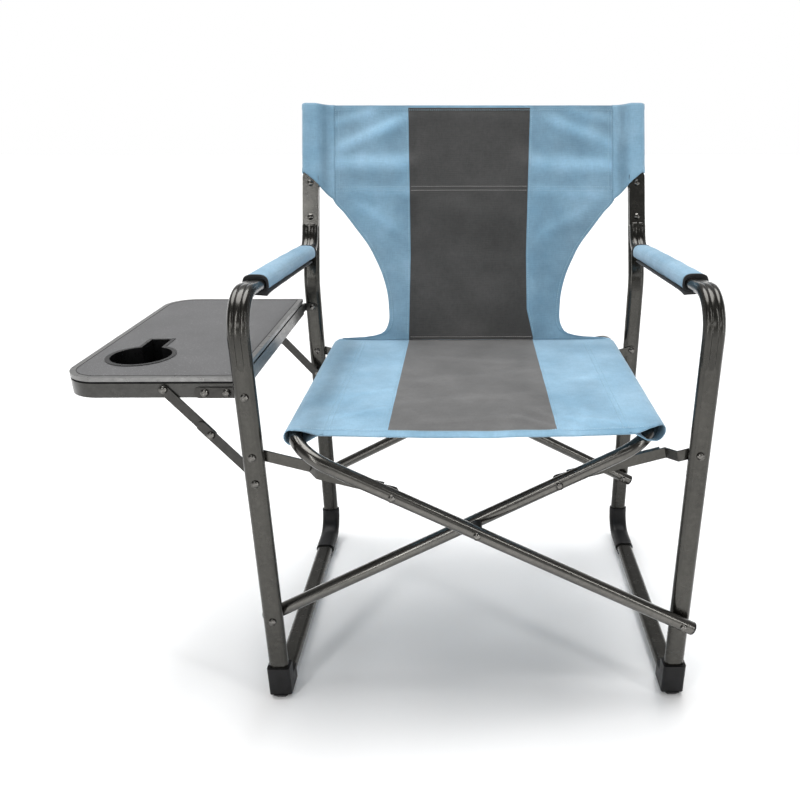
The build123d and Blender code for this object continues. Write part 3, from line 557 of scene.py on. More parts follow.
def back_painted_shading(x, z):
    """Painted light and shade on the back: paler along the creases, darker between them and towards the right
    side, with patchy noise.
    """
    pale = sum(ridge(x, z, *crease) for crease in CREASES)
    cloud = 0.16 * smooth_noise(x / 60, z / 45, 5.5) + 0.08 * smooth_noise(x / 22, z / 18, 1.5)
    # Painted shade: darker towards the right side of the back.
    side = -0.10 * min(1.0, max(0.0, x / 160))
    share = 1.0 if abs(x) > 105 else 0.45
    return share * (0.17 * pale - 0.12 + cloud) + side


def back_point(x, z, lift=0.0):
    y = BACK_FOOT_Y + BACK_SLOPE * (z - BACK_FOOT_Z) - back_relief(x, z) - lift
    return (x, y, z)


def grey_left(z):
    return float(np.interp(z, (424, 560, 806), (-117.5, -114.0, -116.5)))


def grey_right(z):
    return float(np.interp(z, (424, 470, 560, 806), (105.0, 94.0, 93.0, 101.0)))


SIDE_COLS = 22
MID_COLS = 44
FREE_EDGE_Z = 655.0


def side_steps(width):
    """Distances from the outer edge over one blue side of the back, close together over the hem."""
    steps = edge_steps(width, width / SIDE_COLS)
    steps = np.interp(np.linspace(0, 1, SIDE_COLS + 6), np.linspace(0, 1, len(steps)), steps)
    steps[1:4] = (0.8, 6.8, 8.2)
    return np.sort(steps)


def build_back():
    low = BACK_FOOT_Z - 3.6
    rows = np.concatenate([
        low + np.array([0, 1.2, 2.6, 4.5, 7, 10, 14, 19]),
        np.arange(low + 25, BACK_TOP_Z - 10, 5.0),
        BACK_TOP_Z - np.array([9.2, 7.6, 4, 0.8, 0]),
    ])
    grid = []
    thick = []
    for z in rows:
        half = back_half_width(z)
        gl, gr = grey_left(z), grey_right(z)
        middle = np.linspace(gl, gr, MID_COLS + 1)[1:-1]
        xs = np.concatenate([-half + side_steps(half + gl), middle, (half - side_steps(half - gr))[::-1]])
        grid.append([back_point(x, z) for x in xs])
        line = []
        for x in xs:
            side = half - abs(x)
            free_edge = 1.0 if z < FREE_EDGE_Z else 0.0
            extra = max(hem(side) * free_edge, hem(BACK_TOP_Z - z), 0.0)
            seam = 0.5 * (abs(x - gl) < 3.5) + 0.5 * (abs(x - gr) < 3.5)
            line.append(CLOTH_T + float(extra) + seam)
        thick.append(line)
    blue_cols = [0] * (SIDE_COLS + 5)
    mats = blue_cols + [1] * MID_COLS + blue_cols
    obj = cloth("back_sling", grid, thick, [blue, grey], mats)
    edge_rows(obj, len(rows), len(mats), range(len(rows) - 3, len(rows) - 1))
    store_painted_shading(obj, [[back_painted_shading(p[0], p[2]) for p in line] for line in grid])
    return obj


def crumple(obj):
    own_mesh(obj)


back = build_back()
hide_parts("back_side_left", "back_centre", "back_side_right")
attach(back, "right_frame")
crumple(back)

BACK_OUT = (0.0, -0.927, 0.375)


def back_line(path, lift):
    return [(back_point(x, z, lift), BACK_OUT) for x, z in path]


def dense(points, step=4.0):
    """The polyline with a point about every step."""
    pts = np.array(points, float)
    run = run_along(pts)
    where = np.linspace(0, run[-1], max(2, int(run[-1] / step)))
    return [tuple(np.interp(w, run, pts[:, k]) for k in range(pts.shape[1])) for w in where]


BAND_Z = (667.5, 674.0)
STITCH_LIFT = 0.85
HEM_LIFT = 1.45


def back_seams():
    """Lines of stitches: pale over the grey band and foot, blue along the hems, edges and pockets."""
    pale = [back_line(dense([(grey_left(z) + 2, z), (grey_right(z) - 2, z)]), STITCH_LIFT) for z in BAND_Z]
    foot = BACK_FOOT_Z + 1.0
    pale.append(back_line(dense([(grey_left(foot) + 2, foot), (grey_right(foot) - 2, foot)]), 0.95))
    blues = []
    for z in BAND_Z:
        blues.append(back_line(dense([(-SEAM_X + 4, z - 1), (grey_left(z) - 5, z)]), STITCH_LIFT))
        blues.append(back_line(dense([(grey_right(z) + 5, z), (SEAM_X - 4, z - 1)]), STITCH_LIFT))
    top = BACK_TOP_Z - 7.0
    blues.append(back_line(dense([(-SEAM_X + 4, top), (SEAM_X - 4, top)]), HEM_LIFT))
    for edge, shift in ((grey_left, -3.0), (grey_right, 3.0)):
        blues.append(back_line(dense([(edge(z) + shift, z) for z in np.arange(430, 800, 10)]), 1.15))
    for side in (-1, 1):
        cut = [(side * (back_half_width(z) - 6.0), z) for z in np.arange(436, 656, 6)]
        blues.append(back_line(dense(cut), 1.5))
        for inset in (6.0, 12.0):
            x = side * (SEAM_X - inset)
            blues.append(back_line(dense([(x, 668), (x, 800)]), 0.95))
    return pale, blues


for tone, lines, mat in zip(("pale", "blue"), back_seams(), (pale_thread, blue_thread)):
    seam = stitches(f"back_stitches_{tone}", lines, mat)
    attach(seam, "right_frame")
    crumple(seam)


def pocket_loop(reach, half_len, radius, steps=9):
    """Outline of a pocket round a tube: a rounded end and two sides that meet at the seam.

    a runs towards the middle of the chair and n to the back, both from the tube's centre.
    """
    theta = math.acos(radius / (reach - half_len))
    pts = [(reach, -1.4)]
    tangent_a = half_len + radius * math.cos(theta)
    tangent_n = radius * math.sin(theta)
    for t in np.linspace(0, 1, steps)[1:]:
        sway = 0.8 * math.sin(math.pi * t)
        pts.append((reach + (tangent_a - reach) * t, -1.4 + (-tangent_n + 1.4) * t + sway))
    for ang in np.linspace(theta, math.pi / 2, 4)[1:]:
        pts.append((half_len + radius * math.cos(ang), -radius * math.sin(ang)))
    for ang in np.linspace(math.pi / 2, 3 * math.pi / 2, 13):
        pts.append((-half_len + radius * math.cos(ang), -radius * math.sin(ang)))
    mirrored = [(a, -n) for a, n in reversed(pts[:steps + 3])]
    return pts + mirrored


SLEEVE_LOW = ((248, 651.0), (262, 660.5), (277, 675.0), (292, 688.0), (308, 697.0))
POCKET_SEAM_X = 248.0
POCKET_FIT_R = 9.2
TANG_STEP = 4.5
TANG_STEP_Z = 716.0
TANG_STEP_RUN = 20.0


def build_back_sleeve(side, name):
    """The pocket on a back post; its low front edge steps forward over the tang of the arm tube."""
    loop = pocket_loop(HALF_SPAN - POCKET_SEAM_X, OVAL_HALF_FLAT, POCKET_FIT_R)
    cols = len(loop)
    low_x, low_z = zip(*SLEEVE_LOW)
    rows = 34
    grid = []
    thick = []
    for i in range(rows):
        v = i / (rows - 1)
        line = []
        fat = []
        for j, (a, n) in enumerate(loop):
            x = side * (HALF_SPAN - a)
            low = float(np.interp(abs(x), low_x, low_z))
            rear = j / (cols - 1)
            low += 3.0 * max(0.0, (rear - 0.5) * 2)
            z = low + (BACK_TOP_Z + 0.6 - low) * v
            seam_fade = min(1.0, max(0.0, (HALF_SPAN - 252 - a) / 30 + 0.2))
            puff = 0.5 * smooth_noise(a / 15 + side * 5, z / 38, rear * 3) * seam_fade
            n2 = n * (1 + 0.05 * puff) + (puff if abs(n) > 4 else 0) * math.copysign(0.5, n)
            if n < -4:
                below = min(1.0, max(0.0, (TANG_STEP_Z - z) / TANG_STEP_RUN))
                n2 -= TANG_STEP * below * min(1.0, (-n - 4) / 4)
            y = post_y(z) + n2 * LEAN_COS
            zz = z - n2 * LEAN_SIN
            blend_in = min(1.0, max(0.0, (a - 12) / 26))
            panel_y = back_point(x, z)[1] + math.copysign(1.25, n)
            y = y * (1 - blend_in) + panel_y * blend_in
            zz = zz * (1 - blend_in) + z * blend_in
            line.append((x, y, zz))
            fat.append(CLOTH_T - 0.1 + float(hem(z - low, 0.9) + hem(BACK_TOP_Z - z, 0.9)))
        grid.append(line)
        thick.append(fat)
    obj = cloth(f"back_pocket_{name}", grid, thick, [blue], [0] * cols)
    # Painted shade: a dark band where the pocket runs from the tube towards the seam, a little paler over the
    # tube, with patchy noise.
    pocket_painted_shade = []
    for a, _ in loop:
        pocket_painted_shade.append(-0.02 - 0.24 * math.exp(-((a - 24) / 9) ** 2) + 0.04 * math.exp(-((a - 2) / 10) ** 2))
    store_painted_shading(obj, [[b + 0.10 * smooth_noise(b * 9, p[2] / 30, side) for b, p in zip(pocket_painted_shade, line)]
                        for line in grid])
    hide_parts(f"back_sleeve_{name}")
    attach(obj, f"{name}_frame")


for side, name in ((-1, "left"), (1, "right")):
    build_back_sleeve(side, name)


# ---------------- the seat
SEAT_FRONT = 13.0
SEAT_REAR = 440.0
SEAT_TOP_Z = RAIL_Z + RAIL_R + 2.2
SEAT_SEAM = 200.0
POCKET_R = 11.0
FRONT_DROOP = 5.0
HEM_ROWS = 4


def seat_sag(x, y):
    """How far the seat hangs below the tops of the rails."""
    inside = max(0.0, 1 - (x / (RAIL_X - 4)) ** 2)
    front = math.exp(-max(0.0, y - SEAT_FRONT) / 40)
    wrinkle = 0.7 * smooth_noise(x / 60, y / 45, 1.7) + 0.35 * smooth_noise(x / 22, y / 30, 5.5)
    for crease in SEAT_CREASES:
        wrinkle += ridge(x, y, *crease)
    return inside * (3.0 + 2.6 * front) - wrinkle * min(1.0, inside * 5)


SEAT_CREASES = (
    (-196, 60, -130, 96, 8, 1.0), (-190, 150, -128, 170, 10, 0.9), (60, 60, 100, 28, 6, 1.8),
    (80, 90, 104, 60, 6, 1.2), (-90, 120, 70, 150, 12, 0.8), (-80, 210, 80, 250, 13, 0.8),
    (130, 60, 190, 40, 8, 1.0), (120, 200, 190, 230, 10, 0.8),
    (-60, 50, 40, 62, 8, 0.8), (-70, 320, 80, 300, 13, 0.8),
)


def seat_painted_shading(x, y):
    """Painted light and shade on the seat: a dark band along the left rail with a paler band inside it, paler
    creases, and patchy noise.
    """
    pale = sum(ridge(x, y, *crease) for crease in SEAT_CREASES)
    cloud = 0.07 * smooth_noise(x / 45, y / 60, 4.5) + 0.06 * smooth_noise(x / 16, y / 26, 2.5)
    # Painted shade along the left rail, and a painted paler band just inside it.
    rail_painted_shade = -0.22 * math.exp(-((x + 219) / 15) ** 2) + 0.05 * math.exp(-((x + 160) / 30) ** 2)
    return 0.10 * pale + cloud + rail_painted_shade


def seat_top(x, y, lift=0.0):
    return (x, y, SEAT_TOP_Z - seat_sag(x, y) + lift)


def seat_edges(y):
    """The two edges of the grey panel at Y."""
    ends = (SEAT_FRONT, SEAT_REAR)
    return float(np.interp(y, ends, (-116.5, -117.5))), float(np.interp(y, ends, (105.5, 104.5)))


def seat_ends(side, x):
    """Front and rear of the cloth at X: cut back over the rails, whose corners are rounded."""
    over = max(0.0, (abs(x) - 205) / 48)
    front = SEAT_FRONT + (24.0 if side > 0 else 5.0) * over ** 1.6
    rear = SEAT_REAR - 14.0 * over ** 2
    return front, rear


def build_seat():
    angles = np.linspace(math.pi / 2, 3 * math.pi / 2 + 0.35, 15)[1:]
    under = [(-RAIL_X + POCKET_R * math.cos(a), RAIL_Z + POCKET_R * math.sin(a)) for a in angles]
    tail = ((-225.0, -6.0), (-214.0, 1.8), (-205.0, 7.4), (-SEAT_SEAM, 9.3))
    left_under = (under + [(x, RAIL_Z + z) for x, z in tail])[::-1]
    gl, gr = -116.5, 105.0
    top_left = np.linspace(-RAIL_X, gl, 27)
    middle = np.linspace(gl, gr, 45)[1:-1]
    top_right = np.linspace(gr, RAIL_X, 29)
    top = np.concatenate([top_left, middle, top_right])
    columns = [("under", x, z) for x, z in left_under] + [("top", x, 0) for x in top]
    columns += [("under", -x, z) for x, z in left_under[::-1]]
    rows = edge_steps(SEAT_REAR - SEAT_FRONT, 6.0)
    grid = []
    thick = []
    for d in rows:
        share = d / rows[-1]
        line = []
        fat = []
        for kind, x, z in columns:
            side = 1 if x > 0 else -1
            front, rear = seat_ends(side, x)
            y = front + (rear - front) * share
            if kind == "top":
                lo, hi = seat_edges(y)
                if gl - 0.1 <= x <= gr + 0.1:
                    x = lo + (x - gl) * (hi - lo) / (gr - gl)
                droop = max(0.0, 1 - d / 11) ** 1.4 * min(1.0, max(0.0, (RAIL_X - 14 - abs(x)) / 20))
                top_z = seat_top(x, y)[2] - FRONT_DROOP * droop
                if abs(x) > RAIL_X - 8:
                    top_z = min(top_z, SEAT_TOP_Z)
                line.append((x, y, top_z))
                seam = 0.5 * (abs(x - lo) < 3.5) + 0.5 * (abs(x - hi) < 3.5)
                fat.append(CLOTH_T + seam + float(hem(d) + hem(rows[-1] - d)))
            else:
                sway = 0.5 * smooth_noise(x / 12, y / 40, 2.2)
                sag = min(seat_sag(x, y), 2.0) if abs(x) < 215 else 0.0
                line.append((x, y, z + sway - sag * 0.8))
                fat.append(CLOTH_T - 0.2)
        grid.append(line)
        thick.append(fat)
    mats = []
    for (k0, x0, _), (k1, x1, _) in zip(columns[:-1], columns[1:]):
        grey_here = k0 == "top" and k1 == "top" and x0 >= gl - 0.01 and x1 <= gr + 0.01
        mats.append(1 if grey_here else 0)
    obj = cloth("seat_sling", grid, thick, [blue, seat_grey], mats)
    edge_rows(obj, len(rows), len(mats), range(HEM_ROWS))
    store_painted_shading(obj, [[seat_painted_shading(p[0], p[1]) for p in line] for line in grid])
    return obj


def fold_seat(obj):
    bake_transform(obj)


seat = build_seat()
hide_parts("seat_side_left", "seat_centre_left", "seat_centre_right", "seat_side_right",
            "seat_sleeve_left", "seat_sleeve_right")
fold_seat(seat)


def seat_line(path, lift):
    return [(seat_top(x, y, lift), (0.0, 0.0, 1.0)) for x, y in path]


def seat_seams():
    blues = []
    for side in (-1, 1):
        for off in (0.0, 7.0):
            x = side * (SEAT_SEAM - off)
            front, rear = seat_ends(side, x)
            blues.append(seat_line(dense([(x, front + 4), (x, rear - 4)]), STITCH_LIFT))
    for y in (SEAT_FRONT + 6.8, SEAT_REAR - 6.8):
        blues.append(seat_line(dense([(-232, y + 2), (-205, y), (205, y), (232, y + 2)]), HEM_LIFT))
    for shift, pick in ((-3.0, 0), (3.0, 1)):
        edge = [(seat_edges(y)[pick] + shift, y) for y in np.arange(20, 436, 12)]
        blues.append(seat_line(dense(edge), 1.15))
    pale = [seat_line(dense([(-112, SEAT_REAR - 9.5), (100, SEAT_REAR - 9.5)]), 1.0)]
    return blues, pale


for tone, lines, mat in zip(("blue", "pale"), seat_seams(), (blue_thread, pale_thread)):
    seam = stitches(f"seat_stitches_{tone}", lines, mat)
    fold_seat(seam)


# ---------------- arm pads
ARM_FRONT_Z = 598.9
ARM_REAR = (473.8, 571.6)
ARM_SLOPE = (ARM_REAR[1] - ARM_FRONT_Z) / ARM_REAR[0]
PAD_FRONT = 102.0
PAD_REAR = 440.0
PAD_LONG = PAD_REAR - PAD_FRONT
PAD_POINTS = 36
PAD_HALF_W = 17.2
PAD_CROWN = 13.0
PAD_BELLY = 9.6


def arm_z(y):
    return ARM_FRONT_Z + ARM_SLOPE * y


def pad_section(swell):
    """Cross-section of a pad round the arm: crowned on top, flat below."""
    pts = []
    for k in range(PAD_POINTS):
        a = 2 * math.pi * k / PAD_POINTS
        c, s = math.cos(a), math.sin(a)
        x = PAD_HALF_W * swell * math.copysign(abs(c) ** 0.62, c)
        height, roundness = (PAD_CROWN * swell, 0.72) if s > 0 else (PAD_BELLY, 0.5)
        pts.append((x, height * math.copysign(abs(s) ** roundness, s)))
    return pts


INFLATE_FRAMES = 20


def inflate(obj, cap_mm, voxel=0.0045):
    """Swells a closed pad with the cloth solver and keeps the result, with each point's travel capped."""
    bpy.context.view_layer.objects.active = obj
    remesh = obj.modifiers.new("remesh", "REMESH")
    remesh.mode = "VOXEL"
    remesh.voxel_size = voxel
    depsgraph = bpy.context.evaluated_depsgraph_get()
    fine = bpy.data.meshes.new_from_object(obj.evaluated_get(depsgraph))
    obj.modifiers.clear()
    old = obj.data
    fine.materials.clear()
    for mat in old.materials:
        fine.materials.append(mat)
    obj.data = fine
    before = np.array([v.co for v in fine.vertices])
    solver = obj.modifiers.new("cloth", "CLOTH")
    solver.settings.use_pressure = True
    solver.settings.uniform_pressure_force = 4.0
    solver.settings.effector_weights.gravity = 0.0
    solver.settings.quality = 5
    solver.settings.mass = 0.2
    solver.settings.tension_stiffness = 12
    solver.settings.compression_stiffness = 12
    solver.point_cache.frame_start = 1
    solver.point_cache.frame_end = INFLATE_FRAMES
    scene = bpy.context.scene
    for f in range(1, INFLATE_FRAMES + 1):
        scene.frame_set(f)
    depsgraph = bpy.context.evaluated_depsgraph_get()
    blown = bpy.data.meshes.new_from_object(obj.evaluated_get(depsgraph))
    after = np.array([v.co for v in blown.vertices])
    scene.frame_set(1)
    obj.modifiers.clear()
    move = after - before
    far = np.linalg.norm(move, axis=1, keepdims=True)
    move *= np.minimum(1.0, cap_mm * MM / np.maximum(far, 1e-9))
    fine.vertices.foreach_set("co", (before + move).ravel())
    fine.update()
    sub = obj.modifiers.new("smooth", "SUBSURF")
    sub.levels = 1
    sub.render_levels = 1
    for poly in fine.polygons:
        poly.use_smooth = True


def build_pad(side, name):
    tip = np.array([0, 1.2, 4])
    rows = np.concatenate([tip, np.linspace(9, PAD_LONG - 9, 38), PAD_LONG - tip[::-1]])
    verts = []
    for d in rows:
        y = PAD_FRONT + d
        from_end = min(d, PAD_LONG - d)
        pinch = 1.0 - 0.05 * math.exp(-from_end / 6.0)
        ripple = 1 + 0.020 * smooth_noise(y / 26 + side * 9, 0.4) + 0.012 * smooth_noise(y / 9, side * 3.0)
        for x, z in pad_section(pinch * ripple):
            pucker = 0.35 * smooth_noise(x / 5 + side * 2, y / 12, z / 5)
            verts.append(at(side * HALF_SPAN + x, y, arm_z(y) + z + pucker))
    pad = make_object(f"arm_pad_cover_{name}", verts, tube_faces(0, len(rows), PAD_POINTS), [blue])
    inflate(pad, cap_mm=1.6)
    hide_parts(f"arm_pad_{name}")
    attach(pad, f"{name}_frame")


LINING_RINGS = ((0.985, -1.0), (1.0, 0.6), (0.985, 2.2), (0.90, 2.6), (0.83, 1.4), (0.80, 0.5), (0.45, 0.5))


def build_binding(side, name):
    """The black inner lining that shows as a lip at each end of a pad.

    Each ring is a share of the pad's section and how far it stands out from the pad's end.
    """
    verts = []
    faces = []
    for y0, out in ((PAD_FRONT, -1), (PAD_REAR, 1)):
        faces += tube_faces(len(verts), len(LINING_RINGS), PAD_POINTS)
        for scale, push in LINING_RINGS:
            for x, z in pad_section(1.0):
                verts.append(at(side * HALF_SPAN + x * scale, y0 + out * push, arm_z(y0) + z * scale))
    obj = make_object(f"arm_pad_lining_{name}", verts, faces, [strip_black])
    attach(obj, f"{name}_frame")


FLAP_FRONT = 94.0
FLAP_HALF_W = 14.0
FLAP_DROP = 11.6
FLAP_T = 1.5


def build_strip(side, name):
    """The hook-and-loop flap under a pad, whose front corner hangs out."""
    ys = np.concatenate([[FLAP_FRONT, FLAP_FRONT + 1, FLAP_FRONT + 6], np.linspace(106, 404, 40), [407, 408]])
    us = np.linspace(-1, 1, 13)
    grid = []
    for y in ys:
        line = []
        tip = math.exp(-max(0.0, y - FLAP_FRONT) / 16)
        for u in us:
            x = u * FLAP_HALF_W - side * 1.5
            droop = 2.2 * tip * (1 - side * u) / 2 + 0.35 * smooth_noise(u * 2 + side, y / 28)
            line.append((side * HALF_SPAN + x, y, arm_z(y) - FLAP_DROP - droop))
        grid.append(line)
    obj = cloth(f"arm_pad_flap_{name}", grid, FLAP_T, [strip_black], [0] * (len(us) - 1))
    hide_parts(f"arm_pad_strip_{name}")
    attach(obj, f"{name}_frame")


for side, name in ((-1, "left"), (1, "right")):
    build_pad(side, name)
    build_binding(side, name)
    build_strip(side, name)


# ---------------- pressed flutes
def arc_path(corner, before, after, radius, lead, tail, steps=14):
    """Side-view path round a bend of the arm tube, with a straight run at each end."""
    corner, before, after = (np.array(p, float) for p in (corner, before, after))
    back = (before - corner) / np.linalg.norm(before - corner)
    ahead = (after - corner) / np.linalg.norm(after - corner)
    half = math.acos(float(back @ ahead)) / 2
    reach = radius / math.tan(half)
    bisector = (back + ahead) / np.linalg.norm(back + ahead)
    centre = corner + bisector * radius / math.sin(half)
    enter, leave = corner + back * reach, corner + ahead * reach
    a0 = math.atan2(*(enter - centre)[::-1])
    a1 = math.atan2(*(leave - centre)[::-1])
    while a1 - a0 > math.pi:
        a1 -= 2 * math.pi
    while a1 - a0 < -math.pi:
        a1 += 2 * math.pi
    pts = [enter + back * lead * (1 - t) for t in np.linspace(0, 1, 8, endpoint=False)]
    pts += [centre + radius * np.array([math.cos(a), math.sin(a)]) for a in np.linspace(a0, a1, steps)]
    pts += [leave + ahead * tail * t for t in np.linspace(0, 1, 8)[1:]]
    return np.array(pts)


FLUTE_HALF_W = 4.2
FLUTE_RISE = 1.05
FLUTE_SINK = 1.3
FLUTE_ROOT_HALF = 3.0
FLUTE_FADE = 0.14


def flutes(side, name, path, label, offsets):
    """Rounded ridges along one face of a bend, sinking into the tube at both ends."""
    tangent = np.gradient(path, axis=0)
    tangent /= np.linalg.norm(tangent, axis=1, keepdims=True)
    normal = np.stack([-tangent[:, 1], tangent[:, 0]], axis=1)
    run = np.linspace(0, 1, len(path))
    fade = np.minimum(1, np.minimum(run, 1 - run) / FLUTE_FADE)
    fade = fade * fade * (3 - 2 * fade)
    profile = [(math.cos(a), math.sin(a)) for a in np.linspace(0, math.pi, 9)]
    verts = []
    faces = []
    for offset in offsets:
        base = len(verts)
        for (py, pz), (ny, nz), f in zip(path, normal, fade):
            for c, d in profile:
                x = offset + FLUTE_HALF_W * c
                past_flat = max(0.0, abs(x) - OVAL_HALF_FLAT)
                surface = math.sqrt(max(0.0, OVAL_R ** 2 - past_flat ** 2))
                r = surface - FLUTE_SINK + FLUTE_SINK * f + FLUTE_RISE * d * f
                verts.append(at(side * HALF_SPAN + x, py + ny * r, pz + nz * r))
            for c in (-1, 1):
                x = offset + FLUTE_ROOT_HALF * c
                verts.append(at(side * HALF_SPAN + x, py + ny * FLUTE_ROOT_HALF, pz + nz * FLUTE_ROOT_HALF))
        faces += tube_faces(base, len(path), len(profile) + 2)
    obj = make_object(f"{label}_{name}", verts, faces, [steel])
    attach(obj, f"{name}_frame")


FRONT_BEND_R = 50.0
REAR_BEND_R = 45.0
ARM_CORNER = (0.0, ARM_FRONT_Z)
LEG_LOW = (0.0, 300.0)
UPTURN = (ARM_REAR[0] + POST_LEAN * 60, ARM_REAR[1] + 60)
for side, name in ((-1, "left"), (1, "right")):
    front_bend = arc_path(ARM_CORNER, LEG_LOW, ARM_REAR, FRONT_BEND_R, lead=52.0, tail=22.0)
    flutes(side, name, front_bend, "front_flutes", (-8.2, 0.0, 8.2))
    rear_bend = arc_path(ARM_REAR, ARM_CORNER, UPTURN, REAR_BEND_R, lead=6.0, tail=16.0)
    flutes(side, name, rear_bend, "rear_flutes", (-5.5, 5.5))


# ---------------- groove inside the table's rim
TABLE_OUTER_X = -530.0
TABLE_INNER_X = -302.0
TABLE_FRONT_Y = 14.0
TABLE_REAR_Y = 436.0
RIM_W = 8.0
GROOVE_Z = 493.6
GROOVE_R = 0.75


def rounded_loop(inset, outer, inner, per=12):
    """The table's plan drawn in by the inset; its outer and inner corners have their own radii."""
    x0, x1 = TABLE_OUTER_X + inset, TABLE_INNER_X - inset
    y0, y1 = TABLE_FRONT_Y + inset, TABLE_REAR_Y - inset
    corners = ((x1 - inner, y1 - inner, inner, 0), (x0 + outer, y1 - outer, outer, 90),
               (x0 + outer, y0 + outer, outer, 180), (x1 - inner, y0 + inner, inner, 270))
    pts = []
    for cx, cy, radius, start in corners:
        for k in range(per + 1):
            a = math.radians(start + 90 * k / per)
            pts.append((cx + radius * math.cos(a), cy + radius * math.sin(a)))
    return pts


def build_groove(loop):
    """A thin dark bead, half sunk between the rim and the board."""
    n = len(loop)
    pts = np.array(loop)
    ahead = np.roll(pts, -1, 0) - np.roll(pts, 1, 0)
    ahead /= np.linalg.norm(ahead, axis=1, keepdims=True)
    verts = []
    faces = []
    ring = 8
    for (x, y), (tx, ty) in zip(pts, ahead):
        for k in range(ring):
            a = 2 * math.pi * k / ring
            across, up = GROOVE_R * math.cos(a), GROOVE_R * math.sin(a)
            verts.append(at(x + ty * across, y - tx * across, GROOVE_Z + up))
    for i in range(n):
        for k in range(ring):
            a, b = k, (k + 1) % ring
            near, far = i * ring, (i + 1) % n * ring
            faces.append([near + a, near + b, far + b, far + a])
    obj = make_object("rim_groove", verts, faces, [black])
    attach(obj, "table")


build_groove(rounded_loop(RIM_W, outer=38.0, inner=1.0))


# ---------------- domed rivet heads
HEAD_SEAT = 1.7
HEAD_RISE = 2.5
HEAD_GROW = 0.15
HEAD_RADII = (4.2, 6.5)
DOME_RINGS = 7
DOME_SPOKES = 28
bodies = frame["record"]["behaviour"]["bodies"]
BODY_OF = {member: body for body, members in bodies.items() for member in members}


def loose_parts(mesh):
    """The points of each connected part of a mesh; the CAD meshes come split at every face."""
    bm = bmesh.new()
    bm.from_mesh(mesh)
    left = set(bm.verts)
    for seed in bm.verts:
        if seed not in left:
            continue
        left.remove(seed)
        stack = [seed]
        part = []
        while stack:
            vert = stack.pop()
            part.append(vert.co.copy())
            for edge in vert.link_edges:
                other = edge.other_vert(vert)
                if other in left:
                    left.remove(other)
                    stack.append(other)
        yield part
    bm.free()


def domes(cad_name, axis):
    """Smooth domes over the rivet heads of a CAD node whose rivets run along the axis.

    Every face of a head is a part of its own, so one head carries several overlapping domes.
    """
    cad = frame["nodes"][cad_name]
    axis = np.array(axis)
    right = np.array((1.0, 0.0, 0.0))
    up = np.cross(right, axis)
    verts = []
    faces = []
    for part in loose_parts(cad.data):
        pts = np.array([cad.matrix_world @ co for co in part]) / MM
        run, across, high = pts @ axis, pts @ right, pts @ up
        mid_x = (across.min() + across.max()) / 2
        mid_z = (high.min() + high.max()) / 2
        for way, end in ((-1, run.min()), (1, run.max())):
            near = np.abs(run - end) < HEAD_SEAT + 0.1
            radius = float(np.hypot(across[near] - mid_x, high[near] - mid_z).max())
            if not HEAD_RADII[0] < radius < HEAD_RADII[1]:
                continue
            faces += tube_faces(len(verts), DOME_RINGS, DOME_SPOKES)
            for i in range(DOME_RINGS):
                t = i / (DOME_RINGS - 1) * math.pi / 2 * 0.97
                r = (radius + HEAD_GROW) * math.cos(t)
                lift = end - way * HEAD_SEAT + way * HEAD_RISE * math.sin(t)
                for k in range(DOME_SPOKES):
                    a = 2 * math.pi * k / DOME_SPOKES
                    place = axis * lift + right * (mid_x + r * math.cos(a)) + up * (mid_z + r * math.sin(a))
                    verts.append(place * MM)
    if verts:
        obj = make_object(f"{cad_name}_domes", verts, faces, [rivet_steel])
        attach(obj, BODY_OF[cad_name])


ACROSS_POST = (0.0, LEAN_COS, -LEAN_SIN)
BACKWARDS = (0.0, 1.0, 0.0)
for part in frame["record"]["subparts"]:
    if part["material_slot"] == "rivet_steel" and part["node"] != "table_pivot_spacers":
        domes(part["node"], ACROSS_POST if part["node"].startswith("arm_rivets") else BACKWARDS)


# ---------------- floor, light and camera
def floor_material():
    mat, tree, bsdf, coords = new_material("studio_floor")
    cloud = noise_node(tree, coords, 1.5, 3.0, 0.5)
    tree.links.new(ramp(tree, cloud, [(0.3, (0.975,)), (0.7, (0.99,))]), bsdf.inputs["Base Color"])
    put(bsdf, "Roughness", 0.9)
    put(bsdf, "Specular IOR Level", 0.0)
    return mat


bpy.ops.mesh.primitive_plane_add(size=24, location=(0, 0, -0.0005))
floor = bpy.context.active_object
floor.name = "floor"
floor.data.materials.append(floor_material())

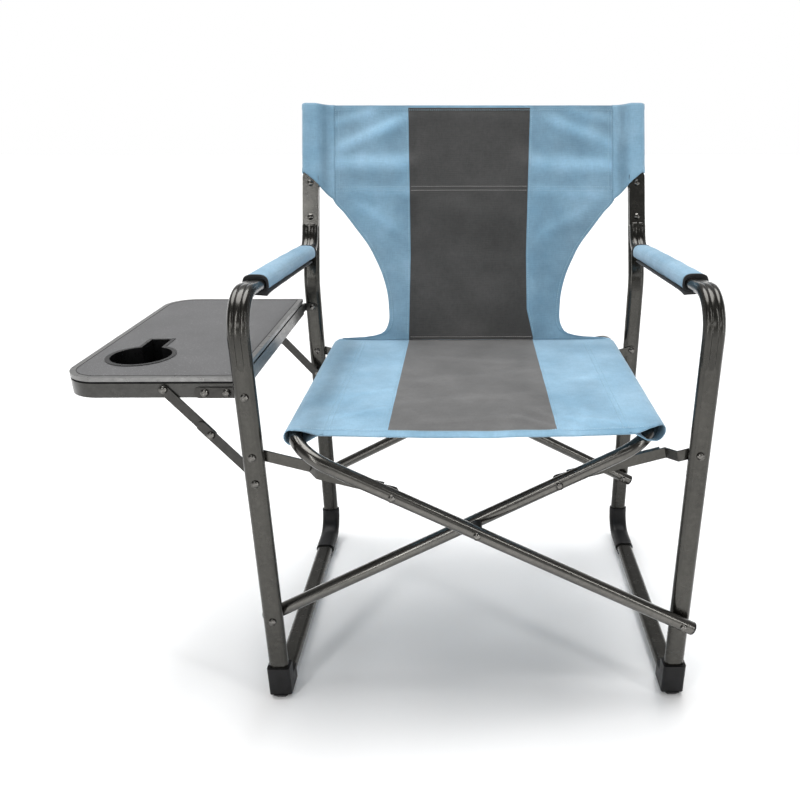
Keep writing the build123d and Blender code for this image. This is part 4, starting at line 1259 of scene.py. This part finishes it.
# The studio is white near the horizon, darker above and darkest above the front
SKY = 0.36
FRONT_SKY = 0.45
SUN = 3.45
SUN_WIDTH = 50
SUN_WAY = (0.12, -0.30, -1.0)
world = bpy.data.worlds.new("studio")
world.use_nodes = True
bpy.context.scene.world = world
tree = world.node_tree
background = tree.nodes["Background"]
direction = tree.nodes.new("ShaderNodeTexCoord")
split = tree.nodes.new("ShaderNodeSeparateXYZ")
tree.links.new(direction.outputs["Generated"], split.inputs["Vector"])
sky = ramp(tree, split.outputs["Z"], [(0.0, (1.0,)), (0.17, (1.0,)), (0.34, (SKY,)), (1.0, (SKY,))])
facing = ramp(tree, split.outputs["Y"], [(0.05, (FRONT_SKY,)), (0.55, (1.0,))])
lit = math_node(tree, "MULTIPLY", sky, facing)
low_band = ramp(tree, split.outputs["Z"], [(0.12, (1.0,)), (0.27, (0.0,))])
tree.links.new(math_node(tree, "MAXIMUM", lit, low_band), background.inputs["Color"])
put(background, "Strength", 1.0)

sun_data = bpy.data.lights.new("overhead", "SUN")
sun_data.energy = SUN
sun_data.angle = math.radians(SUN_WIDTH)
sun = link("overhead", sun_data)
sun.rotation_euler = Vector(SUN_WAY).to_track_quat("-Z", "Y").to_euler()

# Name, place in chair millimetres, size in metres, power in watts
LIGHTS = (
    ("key", (-900, -1200, 1300), (0.16, 1.6), 8),
    ("fill", (1300, -800, 1200), (0.13, 1.6), 6),
    ("softbox", (0, -2400, 1750), (2.2, 0.4), 8),
)
AIM = (0, 240, 420)


def area_light(name, place, target, size, power):
    data = bpy.data.lights.new(name, "AREA")
    data.shape = "RECTANGLE"
    data.size, data.size_y = size
    data.energy = power
    obj = link(name, data)
    obj.location = place
    obj.rotation_euler = (target - place).to_track_quat("-Z", "Y").to_euler()


for name, place, size, power in LIGHTS:
    area_light(name, at(*place), at(*AIM), size, power)

CAMERA_PLACE = (-9.1, -915.1, 815.4)
CAMERA_DOWN = 23.025
CAMERA_TURN = -0.578
camera_data = bpy.data.cameras.new("camera")
camera = link("camera", camera_data)
camera.location = at(*CAMERA_PLACE)
camera.rotation_euler = (math.radians(90 - CAMERA_DOWN), 0, math.radians(CAMERA_TURN))
camera_data.sensor_width = 36
camera_data.lens = 34.885
camera_data.shift_x = -0.09625
camera_data.shift_y = 0.0375
camera_data.clip_end = 60
bpy.context.scene.camera = camera
bpy.context.scene.view_settings.view_transform = "Standard"
